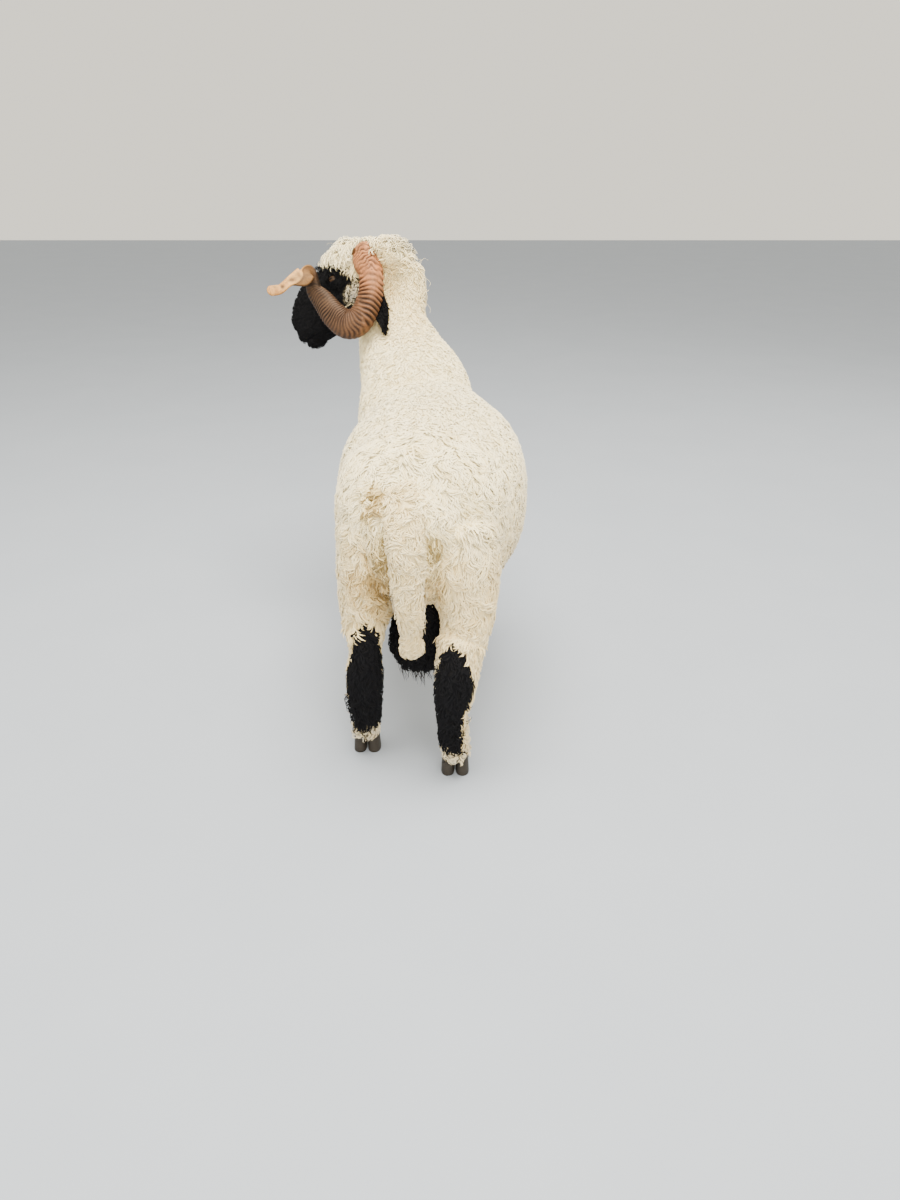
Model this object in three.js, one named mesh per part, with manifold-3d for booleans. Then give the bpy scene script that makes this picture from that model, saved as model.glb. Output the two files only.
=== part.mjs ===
// A Valais Blacknose ram standing in short regrown fleece, looking back over its left side, as a
// life-size still model. Millimetres, +Z up, the ram faces +Y and its right side is +X.
// Each part is lofted through a few sections out to the tips of its fleece. The fleece itself is
// rounded clumps on a core that lies lower, and a plain pad is left where another part sits.
import * as THREE from "three";
import { mergeVertices } from "three/addons/utils/BufferGeometryUtils.js";
import Module from "manifold-3d";

const wasm = await Module();
wasm.setup();
const { Manifold } = wasm;

// Driving sizes
const GAP = 0.3; // between touching parts

const HEAD_YAW = 68; // degrees the head is turned to the ram's left
const HEAD_PITCH = 34; // degrees the face slopes down
const HEAD_ROLL = 16; // degrees the left side of the head is raised
const HEAD_AT = [-110, 862, 1026]; // middle of the poll

const EYE_RADIUS = 14;
const EYE_AT = [58, 102, 10]; // out, forward and up from the poll, in the head's frame

// Fleece of each part: depth of the clumps, how far the core lies under their tips, and spacing
const FLEECE = {
  torso: { depth: 30, core: 18, spacing: 176, seed: 11 },
  neck: { depth: 28, core: 17, spacing: 144, seed: 12 },
  thigh: { depth: 22, core: 13, spacing: 110, seed: 13 },
  arm: { depth: 20, core: 12, spacing: 104, seed: 14 },
  tail: { depth: 14, core: 8, spacing: 92, seed: 16 },
  scrotum: { depth: 14, core: 8, spacing: 90, seed: 17 },
  poll: { depth: 26, core: 15, spacing: 96, seed: 20 },
};

// Seeded random numbers, one stream a part, so that one part's draws never change another's
function stream(seed) {
  let state = seed >>> 0;
  return () => {
    state = (state + 0x6d2b79f5) >>> 0;
    let t = state;
    t = Math.imul(t ^ (t >>> 15), t | 1);
    t ^= t + Math.imul(t ^ (t >>> 7), t | 61);
    return ((t ^ (t >>> 14)) >>> 0) / 4294967296;
  };
}

const vec = (a) => new THREE.Vector3(...a);
const degrees = THREE.MathUtils.degToRad;

// Catmull-Rom through rows of numbers, t from 0 to rows.length - 1
function along(rows, t) {
  const i = Math.max(0, Math.min(Math.floor(t), rows.length - 2));
  const f = t - i;
  const row = (k) => rows[Math.max(0, Math.min(rows.length - 1, k))];
  const [a, b, c, d] = [row(i - 1), row(i), row(i + 1), row(i + 2)];
  return b.map(
    (_, k) =>
      0.5 *
      (2 * b[k] +
        (c[k] - a[k]) * f +
        (2 * a[k] - 5 * b[k] + 4 * c[k] - d[k]) * f * f +
        (3 * b[k] - a[k] - 3 * c[k] + d[k]) * f * f * f),
  );
}

// A closed geometry as a solid, facing out
function solid(geometry, matrix = null) {
  const g = new THREE.BufferGeometry();
  g.setAttribute("position", geometry.getAttribute("position").clone());
  if (geometry.index) g.setIndex(geometry.index.clone());
  if (matrix) g.applyMatrix4(matrix);
  const merged = mergeVertices(g, 1e-3);
  const vertProperties = new Float32Array(merged.attributes.position.array);
  const triVerts = new Uint32Array(merged.index.array);
  const made = new Manifold(new wasm.Mesh({ numProp: 3, vertProperties, triVerts }));
  if (made.volume() > 0) return made;
  for (let i = 0; i < triVerts.length; i += 3) {
    [triVerts[i + 1], triVerts[i + 2]] = [triVerts[i + 2], triVerts[i + 1]];
  }
  return new Manifold(new wasm.Mesh({ numProp: 3, vertProperties, triVerts }));
}

const join = (pieces) => Manifold.union(pieces);

// The largest closed surface of a solid, which drops scraps and sealed hollows
function largest(made) {
  return made.decompose().reduce((best, b) => (b.volume() > best.volume() ? b : best));
}

// Rings of points, all with as many points, closed by a point at each end
function skinned(rings, first, last) {
  const sides = rings[0].length;
  const position = [...rings.flat(), first, last].flatMap((p) => p.toArray());
  const [start, end] = [rings.length * sides, rings.length * sides + 1];
  const index = [];
  for (let j = 0; j < sides; j++) {
    const k = (j + 1) % sides;
    index.push(start, j, k);
    for (let i = 0; i + 1 < rings.length; i++) {
      const [a, b, c, d] = [i * sides + j, i * sides + k, (i + 1) * sides + j, (i + 1) * sides + k];
      index.push(a, c, b, b, c, d);
    }
    index.push(end, (rings.length - 1) * sides + k, (rings.length - 1) * sides + j);
  }
  const g = new THREE.BufferGeometry();
  g.setAttribute("position", new THREE.Float32BufferAttribute(position, 3));
  g.setIndex(index);
  return g;
}

// A lofted body. Each row is one section: x, y, z of its middle, half-width, height above and below
// the middle, and squareness, where 2 is an ellipse. up is the way the section's height runs.
class Loft {
  constructor(rows, up, { caps = [0.6, 0.6], sides = 20, perSpan = 1, matrix = null } = {}) {
    this.rows = rows;
    this.up = vec(up).normalize();
    this.caps = caps;
    this.last = rows.length - 1;
    this.sides = sides;
    this.perSpan = perSpan;
    this.matrix = matrix;
  }
  frame(t) {
    const step = 0.02;
    const a = vec(along(this.rows, Math.max(0, t - step)));
    const b = vec(along(this.rows, Math.min(this.last, t + step)));
    const ahead = b.sub(a).normalize();
    const side = new THREE.Vector3().crossVectors(ahead, this.up).normalize();
    const high = new THREE.Vector3().crossVectors(side, ahead);
    return { ahead, side, high, row: along(this.rows, t) };
  }
  // The surface point at angle a round the section at t, moved out by grow
  point(t, a, grow = 0, shrink = 1, push = 0) {
    const { ahead, side, high, row } = this.frame(t);
    const [x, y, z, wide, above, below, square] = row;
    const power = 2 / square;
    const [c, s] = [Math.cos(a), Math.sin(a)];
    const u = (wide + grow) * Math.sign(c) * Math.abs(c) ** power * shrink;
    const v = ((s > 0 ? above : below) + grow) * Math.sign(s) * Math.abs(s) ** power * shrink;
    const p = new THREE.Vector3(x, y, z);
    return p.addScaledVector(side, u).addScaledVector(high, v).addScaledVector(ahead, push);
  }
  normal(t, a) {
    const d = 0.03;
    const ring = this.point(t, a + d).sub(this.point(t, a - d));
    const [t0, t1] = [Math.max(0, t - d), Math.min(this.last, t + d)];
    const run = this.point(t1, a).sub(this.point(t0, a));
    return run.cross(ring).normalize();
  }
  // The closed body, with a rounded cap at each end
  solid(grow = 0, perSpan = this.perSpan, sides = this.sides) {
    const reach = (t, cap) => {
      const row = along(this.rows, t);
      return Math.min(row[3], (row[4] + row[5]) / 2) * cap + grow;
    };
    const turns = [1.15, 0.6];
    const stations = [];
    const [low, high] = [reach(0, this.caps[0]), reach(this.last, this.caps[1])];
    for (const turn of turns) stations.push([0, Math.cos(turn), -low * Math.sin(turn)]);
    for (let i = 0; i <= this.last * perSpan; i++) stations.push([i / perSpan, 1, 0]);
    for (const turn of [...turns].reverse()) {
      stations.push([this.last, Math.cos(turn), high * Math.sin(turn)]);
    }
    const rings = stations.map(([t, shrink, push]) =>
      Array.from({ length: sides }, (_, j) =>
        this.point(t, (j / sides) * 2 * Math.PI, grow, shrink, push),
      ),
    );
    const tip = (t, push) => vec(this.rows[t].slice(0, 3)).addScaledVector(this.frame(t).ahead, push);
    return solid(skinned(rings, tip(0, -low), tip(this.last, high)), this.matrix);
  }
}

// An ellipsoid at a place in the head's or the ram's own frame
function ellipsoid(at, radii, matrix = null, [around, high] = [12, 8]) {
  const m = new THREE.Matrix4().makeScale(...radii).setPosition(vec(at));
  return solid(new THREE.SphereGeometry(1, around, high), matrix ? matrix.clone().multiply(m) : m);
}

// A blob of few sides, as one clump of fleece
const blob = new THREE.SphereGeometry(1, 5, 3);

// The blob's place, with its height up the normal and leaning along the lie of the coat
function clumpAt(at, normal, lie, wide, tall, lean) {
  const up = normal.clone().addScaledVector(lie, lean).normalize();
  const side = new THREE.Vector3().crossVectors(lie, up).normalize();
  const ahead = new THREE.Vector3().crossVectors(up, side);
  const basis = [side.multiplyScalar(wide), up.multiplyScalar(tall), ahead.multiplyScalar(wide * 1.12)];
  return new THREE.Matrix4().makeBasis(...basis).setPosition(at);
}

// Rounded clumps set close over a loft from t0 to t1, in rows that are spread by length round the
// section, each row half a step on from the last. Their tips reach the loft's surface.
function clumps(loft, fleece, lie, [t0, t1]) {
  const random = stream(fleece.seed);
  const samples = 48;
  const spots = [];
  let run = 0;
  for (let i = 0; i < samples; i++) {
    const at = (k) => vec(along(loft.rows, t0 + ((t1 - t0) * k) / samples));
    run += at(i).distanceTo(at(i + 1));
  }
  const rows = Math.max(1, Math.round(run / (fleece.spacing * 0.87)));
  for (let r = 0; r < rows; r++) {
    const t = t0 + ((t1 - t0) * (r + 0.5)) / rows;
    const sums = [0];
    for (let k = 0; k < samples; k++) {
      const [p, q] = [k, k + 1].map((j) => loft.point(t, (j / samples) * 2 * Math.PI));
      sums.push(sums[k] + p.distanceTo(q));
    }
    const around = sums[samples];
    const count = Math.max(3, Math.round(around / fleece.spacing));
    for (let c = 0; c < count; c++) {
      const wanted = (((c + (r % 2) * 0.5 + (random() - 0.5) * 0.3) / count + 1) % 1) * around;
      const k = Math.max(0, sums.findIndex((s) => s > wanted) - 1);
      const a = ((k + (wanted - sums[k]) / (sums[k + 1] - sums[k])) / samples) * 2 * Math.PI;
      const shift = ((random() - 0.5) * 0.25 * (t1 - t0)) / rows;
      const [wide, tall, twist] = [random(), random(), random() - 0.5];
      spots.push({ t: Math.min(loft.last, Math.max(0, t + shift)), a, wide, tall, twist });
    }
  }
  return spots.map(({ t, a, wide, tall, twist }) => {
    const normal = loft.normal(t, a);
    const width = fleece.spacing * (0.5 + 0.06 * wide);
    const height = fleece.depth * (0.94 + 0.12 * tall);
    const at = loft.point(t, a).addScaledVector(normal, -height * 1.14);
    const flat = lie.clone().addScaledVector(normal, -lie.dot(normal)).normalize();
    flat.applyAxisAngle(normal, twist);
    const m = clumpAt(at, normal, flat, width, height, 0.12);
    return solid(blob, loft.matrix ? loft.matrix.clone().multiply(m) : m);
  });
}

const LIE_BACK = new THREE.Vector3(0, -1, -0.5);
const LIE_DOWN = new THREE.Vector3(0.05, -0.1, -1);

// Sections: x, y, z, half-width, height above, height below, squareness

const torso = new Loft(
  [
    [12, -30, 600, 96, 86, 130, 2.1],
    [16, 16, 592, 152, 150, 172, 2.15],
    [26, 80, 584, 186, 178, 196, 2.2],
    [38, 160, 578, 208, 196, 214, 2.2],
    [51, 250, 560, 227, 220, 218, 2.4],
    [56, 350, 555, 234, 227, 221, 2.45],
    [55, 450, 558, 225, 228, 216, 2.35],
    [31, 560, 586, 198, 212, 216, 2.15],
    [7, 650, 606, 156, 188, 190, 2.1],
    [1, 716, 622, 118, 148, 142, 2],
  ],
  [0, 0, 1],
  { caps: [0.45, 0.4], sides: 18 },
);

const neck = new Loft(
  [
    [12, 570, 660, 160, 140, 150, 2],
    [3, 664, 728, 152, 126, 142, 2],
    [-34, 758, 802, 124, 100, 124, 2],
    [-62, 820, 880, 100, 78, 92, 2],
    [-63, 852, 950, 101, 68, 60, 2],
    [-68, 864, 1006, 98, 74, 62, 2],
  ],
  [0, -1, 0.75],
  { caps: [0.4, 0.6], sides: 20 },
);

const legUp = [0, 1, 0];
const upperLeg = { caps: [0.5, 0.3], sides: 12 };
const lowerLeg = { caps: [0.4, 0.2], sides: 12 };

const thighLeft = new Loft(
  [
    [-60, 90, 560, 96, 124, 124, 2.1],
    [-76, 72, 480, 84, 118, 118, 2.1],
    [-88, 50, 405, 68, 92, 92, 2],
    [-94, 24, 345, 52, 60, 66, 2],
  ],
  legUp,
  upperLeg,
);
const shankLeft = new Loft(
  [
    [-94, 18, 352, 50, 54, 60, 2],
    [-92, 4, 298, 40, 42, 54, 2],
    [-97, 6, 240, 46, 40, 46, 2],
    [-99, 16, 170, 44, 38, 42, 2],
    [-98, 28, 104, 35, 38, 38, 2],
    [-102, 42, 56, 35, 36, 36, 2],
  ],
  legUp,
  lowerLeg,
);
const thighRight = new Loft(
  [
    [114, 60, 560, 94, 124, 124, 2.1],
    [125, 30, 480, 88, 118, 118, 2.1],
    [135, -6, 405, 67, 92, 92, 2],
    [128, -42, 345, 54, 60, 66, 2],
  ],
  legUp,
  upperLeg,
);
const shankRight = new Loft(
  [
    [124, -50, 352, 57, 54, 60, 2],
    [115, -72, 298, 53, 42, 54, 2],
    [108, -78, 240, 50, 40, 46, 2],
    [101, -72, 170, 37, 36, 42, 2],
    [104, -62, 104, 35, 38, 38, 2],
    [110, -50, 56, 35, 36, 36, 2],
  ],
  legUp,
  lowerLeg,
);

// A foreleg under a shoulder at x, y, upper part and lower part
const armRows = (x, y) => [
  [x + 2, y - 6, 500, 74, 92, 92, 2],
  [x + 1, y - 4, 430, 60, 74, 72, 2],
  [x, y, 370, 50, 58, 56, 2],
  [x, y + 6, 318, 44, 48, 46, 2],
];
const foreShankRows = (x, y) => [
  [x, y + 4, 322, 44, 48, 46, 2],
  [x, y + 6, 285, 43, 46, 42, 2],
  [x, y, 225, 37, 38, 38, 2],
  [x, y - 2, 160, 35, 36, 36, 2],
  [x, y + 4, 102, 36, 38, 38, 2],
  [x, y + 16, 56, 34, 36, 36, 2],
];
const FORE_LEFT = [-44, 592];
const FORE_RIGHT = [128, 566];
const armLeft = new Loft(armRows(...FORE_LEFT), legUp, upperLeg);
const armRight = new Loft(armRows(...FORE_RIGHT), legUp, upperLeg);
const foreShankLeft = new Loft(foreShankRows(...FORE_LEFT), legUp, lowerLeg);
const foreShankRight = new Loft(foreShankRows(...FORE_RIGHT), legUp, lowerLeg);

// Middle of each hoof on the floor
const HOOVES = {
  hind_left: [-103, 52],
  hind_right: [110, -40],
  fore_left: [-44, 618],
  fore_right: [128, 592],
};
const CLAW = { wide: 15.5, apart: 17, heel: 24, toe: 40, high: 46, top: 56 };

// A hoof of two claws with flat soles on the floor, joined behind at the heels
function hoof([x, y], grow = 0) {
  const outline = [
    [0, -1],
    [0.8, -0.6],
    [1, 0.1],
    [0.62, 0.72],
    [0, 1],
    [-0.62, 0.72],
    [-1, 0.1],
    [-0.8, -0.6],
  ];
  const ring = (cx, z, wide, heel, toe) =>
    outline.map(([u, v]) => {
      const reach = v < 0 ? heel + grow : toe + grow;
      return new THREE.Vector3(cx + u * (wide + grow), y + v * reach, z);
    });
  const { wide, apart, heel, toe, high, top } = CLAW;
  const claws = [-apart, apart].map((dx) => {
    const rings = [
      ring(x + dx, -grow, wide, heel, toe),
      ring(x + dx * 0.96, high, wide * 0.86, heel * 0.96, toe * 0.5),
      ring(x + dx * 0.94, top + grow, wide * 0.5, heel * 0.6, toe * 0.3),
    ];
    const [under, over] = [-grow, top + grow].map((z) => new THREE.Vector3(x + dx, y, z));
    return solid(skinned(rings, under, over));
  });
  const heels = ellipsoid([x, y - 6, 40], [20 + grow, 15 + grow, 13 + grow], null, [6, 4]);
  return join([...claws, heels]);
}

const tail = new Loft(
  [
    [4, 4, 668, 44, 34, 40, 2],
    [5, -46, 644, 45, 32, 34, 2],
    [7, -78, 580, 42, 30, 32, 2],
    [11, -88, 490, 38, 28, 30, 2],
    [15, -88, 410, 33, 28, 28, 2],
    [17, -82, 350, 31, 27, 27, 2],
  ],
  [0, 1, 0],
  { caps: [0.5, 0.9], sides: 14 },
);

const scrotum = new Loft(
  [
    [26, 62, 450, 44, 34, 34, 2],
    [30, 60, 390, 54, 40, 40, 2],
    [29, 58, 330, 70, 52, 52, 2],
    [26, 56, 280, 72, 56, 56, 2],
    [23, 56, 252, 58, 46, 46, 2],
  ],
  [0, 1, 0],
  { caps: [0.4, 0.7], sides: 14 },
);

// The head's own frame: x to its right, y from poll to nose, z up out of the forehead
const headFrame = (() => {
  const turn = new THREE.Euler(-degrees(HEAD_PITCH), degrees(HEAD_ROLL), degrees(HEAD_YAW), "ZXY");
  return new THREE.Matrix4().makeRotationFromEuler(turn).setPosition(vec(HEAD_AT));
})();

const head = new Loft(
  [
    [0, -24, -16, 62, 50, 60, 2.2],
    [0, 28, -14, 74, 66, 98, 2.3],
    [0, 78, -12, 75, 80, 116, 2.3],
    [0, 124, -14, 66, 88, 106, 2.3],
    [0, 168, -18, 57, 103, 88, 2.3],
    [0, 214, -24, 52, 105, 72, 2.3],
    [0, 256, -32, 48, 91, 60, 2.3],
    [0, 288, -40, 42, 66, 46, 2.4],
  ],
  [0, 0, 1],
  { caps: [0.5, 0.5], sides: 14, matrix: headFrame },
);

// The wool of the poll, from the nape over to the forehead
const poll = new Loft(
  [
    [0, -74, -10, 75, 38, 60, 2.1],
    [0, -28, 6, 76, 46, 66, 2.2],
    [0, 26, 18, 73, 67, 58, 2.2],
    [0, 72, 36, 68, 75, 36, 2.1],
    [0, 110, 54, 52, 60, 24, 2],
    [0, 136, 62, 34, 42, 14, 2],
  ],
  [0, 0, 1],
  { caps: [0.5, 0.4], sides: 14, matrix: headFrame },
);

// Sections of an ear in the head's frame: the left one hangs behind its horn, the right one comes
// out through its horn's coil
const earRows = (side) =>
  side < 0
    ? [
        [-52, -14, -30, 18, 7, 7, 2],
        [-64, -12, -66, 20, 8, 8, 2],
        [-74, -8, -114, 20, 8, 8, 2],
        [-83, -6, -162, 20, 7, 7, 2],
        [-90, 4, -214, 4, 4, 4, 2],
      ]
    : [
        [54, 24, -44, 15, 8, 8, 2],
        [98, 42, -60, 17, 8, 8, 2],
        [142, 52, -86, 25, 7, 7, 2],
        [176, 60, -128, 27, 6, 6, 2],
        [194, 64, -172, 19, 5, 5, 2],
        [200, 66, -206, 5, 4, 4, 2],
      ];
const earUp = (side) => (side < 0 ? [-0.86, -0.5, 0] : [0.6, 0, 0.8]);
const earShape = { caps: [0.3, 0.6], sides: 12, matrix: headFrame };
const ear = (side) => new Loft(earRows(side), earUp(side), earShape);
function earHollow(side) {
  const rows = earRows(side).slice(side < 0 ? 1 : 2);
  const inner = rows.map(([x, y, z, wide, high]) => {
    return [x - side * 5.5, y + 3.5, z, wide * 0.72, high, high, 2];
  });
  return new Loft(inner, earUp(side), { caps: [0.3, 0.3], sides: 10, matrix: headFrame });
}

// The left horn's middle line from the poll to its tip, mirrored for the right one: out, forward
// and up from the poll, half-width across the coil, and half-thickness
const hornRows = [
  [20, 12, 2, 33, 28],
  [46, -8, 14, 37, 30],
  [60, -14, -14, 36, 31],
  [70, -18, -47, 32, 30],
  [88, -6, -97, 32, 30],
  [104, 15, -131, 34, 29],
  [117, 46, -154, 38, 28],
  [126, 80, -147, 38, 27],
  [133, 101, -108, 35, 25],
  [138, 111, -65, 31, 20],
  [144, 120, -29, 24, 15],
  [150, 114, -8, 22, 12],
  [160, 107, 12, 24, 9],
  [178, 116, 8, 28, 8],
  [204, 141, 6, 15, 6],
  [230, 163, -7, 14, 6],
  [252, 180, -5, 13, 5],
];
const HORN_STATIONS = 40;
const HORN_SIDES = 8;
const RIDGE = 0.04; // swell of every other station of the coil

function horn(side, grow = 0) {
  const last = hornRows.length - 1;
  const middle = (u) => {
    const [x, y, z] = along(hornRows, Math.min(last, Math.max(0, u)));
    return new THREE.Vector3(side * x, y, z);
  };
  const rings = [];
  for (let i = 0; i <= HORN_STATIONS; i++) {
    const u = (i / HORN_STATIONS) * last;
    const ahead = middle(u + 0.05).sub(middle(u - 0.05)).normalize();
    const thin = new THREE.Vector3(side, 0, 0).addScaledVector(ahead, -side * ahead.x).normalize();
    const broad = new THREE.Vector3().crossVectors(ahead, thin);
    const [, , , wide, thick] = along(hornRows, u);
    const swell = 1 + RIDGE * (i % 2 ? 1 : -1) * Math.max(0, 1 - u / 11);
    rings.push(
      Array.from({ length: HORN_SIDES }, (_, j) => {
        const a = (j / HORN_SIDES) * 2 * Math.PI;
        const p = middle(u).addScaledVector(broad, Math.cos(a) * (wide * swell + grow));
        return p.addScaledVector(thin, Math.sin(a) * (thick * swell + grow));
      }),
    );
  }
  const end = middle(last).sub(middle(last - 0.1)).normalize();
  return solid(skinned(rings, middle(0), middle(last).addScaledVector(end, 8)), headFrame);
}

// The head with its poll wool: lids round each eye, lips, nostrils and the line of the mouth
function face(pollWool) {
  const [out, forward, up] = EYE_AT;
  const coarse = [10, 6];
  const inHead = (at, radii) => ellipsoid(at, radii, headFrame, coarse);
  const onBoth = (x, y, z, radii) => [-1, 1].map((side) => inHead([side * x, y, z], radii));
  const lids = onBoth(out - 1, forward, up, [19, 25, 19]);
  const lips = [inHead([0, 290, -50], [39, 24, 26]), inHead([0, 272, -80], [33, 26, 13])];
  const slits = onBoth(out + 17, forward, up, [11, 14, 7]);
  const sockets = onBoth(out, forward, up, Array(3).fill(EYE_RADIUS + GAP));
  const nostrils = onBoth(19, 307, -28, [5, 10, 9]);
  const mouthPlane = new THREE.BoxGeometry(120, 90, 2.4);
  const mouthAt = new THREE.Matrix4().makeRotationX(degrees(8)).setPosition(0, 274, -72);
  mouthPlane.applyMatrix4(mouthAt);
  const mouth = solid(mouthPlane, headFrame).subtract(inHead([0, 258, -72], [37, 50, 30]));
  const flesh = join([head.solid(), ...lids, ...lips, pollWool]);
  return flesh.subtract(join([...slits, ...sockets, ...nostrils, mouth]));
}

const ram = new THREE.Group();

function node(name, made, material) {
  const mesh = largest(made).getMesh();
  const g = new THREE.BufferGeometry();
  g.setAttribute("position", new THREE.BufferAttribute(new Float32Array(mesh.vertProperties), 3));
  g.setIndex(new THREE.BufferAttribute(new Uint32Array(mesh.triVerts), 1));
  const m = new THREE.Mesh(g, material);
  m.name = name;
  ram.add(m);
}

const cream = new THREE.MeshStandardMaterial({ color: 0xf0e8d7, roughness: 0.95 });
const black = new THREE.MeshStandardMaterial({ color: 0x15130f, roughness: 0.9 });
const hornTan = new THREE.MeshStandardMaterial({ color: 0x9c7a52, roughness: 0.6 });
const hoofGrey = new THREE.MeshStandardMaterial({ color: 0x3a342c, roughness: 0.55 });
const eyeAmber = new THREE.MeshStandardMaterial({ color: 0x6b4a1c, roughness: 0.15 });

const built = {};
// A part: its plain body out to the tips, that body grown a little as two cutting tools, and the
// body as it is made. A woolly part has clumps from one section to another, woolly, and a pad of the
// plain body wherever another part sits on it.
function part(name, loft, fleece, lie, woolly, pads = []) {
  const plain = loft.solid();
  const wool = fleece ? [loft.solid(-fleece.core, 0.6, 9), ...clumps(loft, fleece, lie, woolly)] : [plain];
  if (pads.length) wool.push(plain.intersect(join(pads)));
  built[name] = { plain, tool: loft.solid(GAP), wide: loft.solid(3 * GAP), made: join(wool) };
  return built[name];
}

const headTool = join([head.solid(GAP), poll.solid(GAP)]);
const onPoll = [-1, 1].flatMap((side) => [horn(side), ear(side).solid()]);
part("poll", poll, FLEECE.poll, LIE_DOWN, [0, 5], onPoll);
part("neck", neck, FLEECE.neck, LIE_DOWN, [1, 4.6], [join([head.solid(), poll.solid()])]);
part("tail", tail, FLEECE.tail, LIE_DOWN, [0.6, 5]);
part("scrotum", scrotum, FLEECE.scrotum, LIE_DOWN, [1.2, 4]);
part("thigh_left", thighLeft, FLEECE.thigh, LIE_DOWN, [0.5, 2.7], [shankLeft.solid()]);
part("thigh_right", thighRight, FLEECE.thigh, LIE_DOWN, [0.5, 2.7], [shankRight.solid()]);
part("hind_shank_left", shankLeft);
part("hind_shank_right", shankRight);
part("arm_left", armLeft, FLEECE.arm, LIE_DOWN, [0.9, 2.7], [foreShankLeft.solid()]);
part("arm_right", armRight, FLEECE.arm, LIE_DOWN, [0.9, 2.7], [foreShankRight.solid()]);
part("fore_shank_left", foreShankLeft);
part("fore_shank_right", foreShankRight);
const onTorso = ["neck", "tail", "scrotum", "thigh_left", "thigh_right", "arm_left", "arm_right"];
const torsoPads = onTorso.map((name) => built[name].plain);
part("torso", torso, FLEECE.torso, LIE_BACK, [0, 8.8], torsoPads);

// All that lies below the tops of the hooves, which end the shanks with a flat face
const belowShank = solid(new THREE.BoxGeometry(1000, 2000, 200).translate(0, 0, CLAW.top + GAP - 100));
const torsoTool = built.torso.tool;
const neckTool = built.neck.tool;
// A part without what its clumps raise above its plain body inside its neighbours
const trimmed = (name, ...beside) => {
  return built[name].made.subtract(join(beside).subtract(built[name].plain));
};
const wide = (...names) => names.map((name) => built[name].wide);
const sided = [-1, 1].flatMap((side) => [horn(side, 3 * GAP), ear(side).solid(3 * GAP)]);
const headWide = join([head.solid(3 * GAP), poll.solid(3 * GAP)]);
node("torso", trimmed("torso", ...wide(...onTorso)), cream);
node("neck", trimmed("neck", headWide, ...sided).subtract(torsoTool), cream);
node("head", face(trimmed("poll", ...sided)).subtract(join([neckTool, torsoTool])), cream);
for (const side of ["left", "right"]) {
  const [thigh, hind] = [built[`thigh_${side}`], built[`hind_shank_${side}`]];
  const [arm, fore] = [built[`arm_${side}`], built[`fore_shank_${side}`]];
  const [hindHoof, foreHoof] = [HOOVES[`hind_${side}`], HOOVES[`fore_${side}`]];
  const underThigh = wide(`hind_shank_${side}`, "scrotum");
  node(`thigh_${side}`, trimmed(`thigh_${side}`, ...underThigh).subtract(torsoTool), cream);
  node(`hind_shank_${side}`, hind.made.subtract(join([thigh.tool, torsoTool, belowShank])), black);
  node(`arm_${side}`, trimmed(`arm_${side}`, ...wide(`fore_shank_${side}`)).subtract(torsoTool), cream);
  node(`fore_shank_${side}`, fore.made.subtract(join([arm.tool, torsoTool, belowShank])), black);
  node(`hind_hoof_${side}`, hoof(hindHoof), hoofGrey);
  node(`fore_hoof_${side}`, hoof(foreHoof), hoofGrey);
}
node("tail", built.tail.made.subtract(torsoTool), cream);
const thighTools = [built.thigh_left.tool, built.thigh_right.tool];
node("scrotum", built.scrotum.made.subtract(join([torsoTool, ...thighTools])), black);
for (const [side, name] of [
  [-1, "left"],
  [1, "right"],
]) {
  node(`horn_${name}`, horn(side).subtract(join([headTool, neckTool])), hornTan);
  const leaf = ear(side).solid().subtract(earHollow(side).solid());
  node(`ear_${name}`, leaf.subtract(join([headTool, neckTool, horn(side, GAP)])), black);
  const [out, forward, up] = EYE_AT;
  const ball = Array(3).fill(EYE_RADIUS);
  node(`eye_${name}`, ellipsoid([side * out, forward, up], ball, headFrame, [10, 6]), eyeAmber);
}

// The origin is the middle of the ram's bounding box, on the floor
const middle = new THREE.Box3().setFromObject(ram).getCenter(new THREE.Vector3());
ram.position.set(-middle.x, -middle.y, 0);
const root = new THREE.Group();
root.add(ram);

export default root;
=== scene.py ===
import math

import bpy
import bmesh
import numpy as np
from mathutils import Matrix, Vector
from mathutils.bvhtree import BVHTree
from mathutils.kdtree import KDTree


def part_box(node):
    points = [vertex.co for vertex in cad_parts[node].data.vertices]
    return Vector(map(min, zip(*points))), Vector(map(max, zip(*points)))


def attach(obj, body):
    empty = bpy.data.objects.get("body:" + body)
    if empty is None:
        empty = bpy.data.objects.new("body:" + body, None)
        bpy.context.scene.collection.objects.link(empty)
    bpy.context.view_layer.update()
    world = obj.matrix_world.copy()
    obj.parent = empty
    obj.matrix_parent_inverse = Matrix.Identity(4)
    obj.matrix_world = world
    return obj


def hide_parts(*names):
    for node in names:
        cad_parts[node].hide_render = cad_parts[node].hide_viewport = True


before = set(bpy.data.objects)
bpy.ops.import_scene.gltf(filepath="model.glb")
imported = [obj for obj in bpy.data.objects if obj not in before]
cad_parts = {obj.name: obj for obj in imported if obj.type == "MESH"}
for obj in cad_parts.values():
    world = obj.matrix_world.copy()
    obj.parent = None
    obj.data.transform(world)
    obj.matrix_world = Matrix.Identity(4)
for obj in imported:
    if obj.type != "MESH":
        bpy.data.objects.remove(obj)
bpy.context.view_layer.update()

# Shapes are in millimetres in the ram's own frame: +Y ahead, +X to its right, floor at z 0
SIDES = {-1: "left", 1: "right"}
CLAW = {"wide": 15.5, "apart": 17, "heel": 24, "toe": 40, "top": 56}
HOOVES = {
    "hind_hoof_left": (-103, 52),
    "hind_hoof_right": (110, -40),
    "fore_hoof_left": (-44, 618),
    "fore_hoof_right": (128, 592),
}
HOOF_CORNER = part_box("hind_hoof_left")[0]
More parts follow.
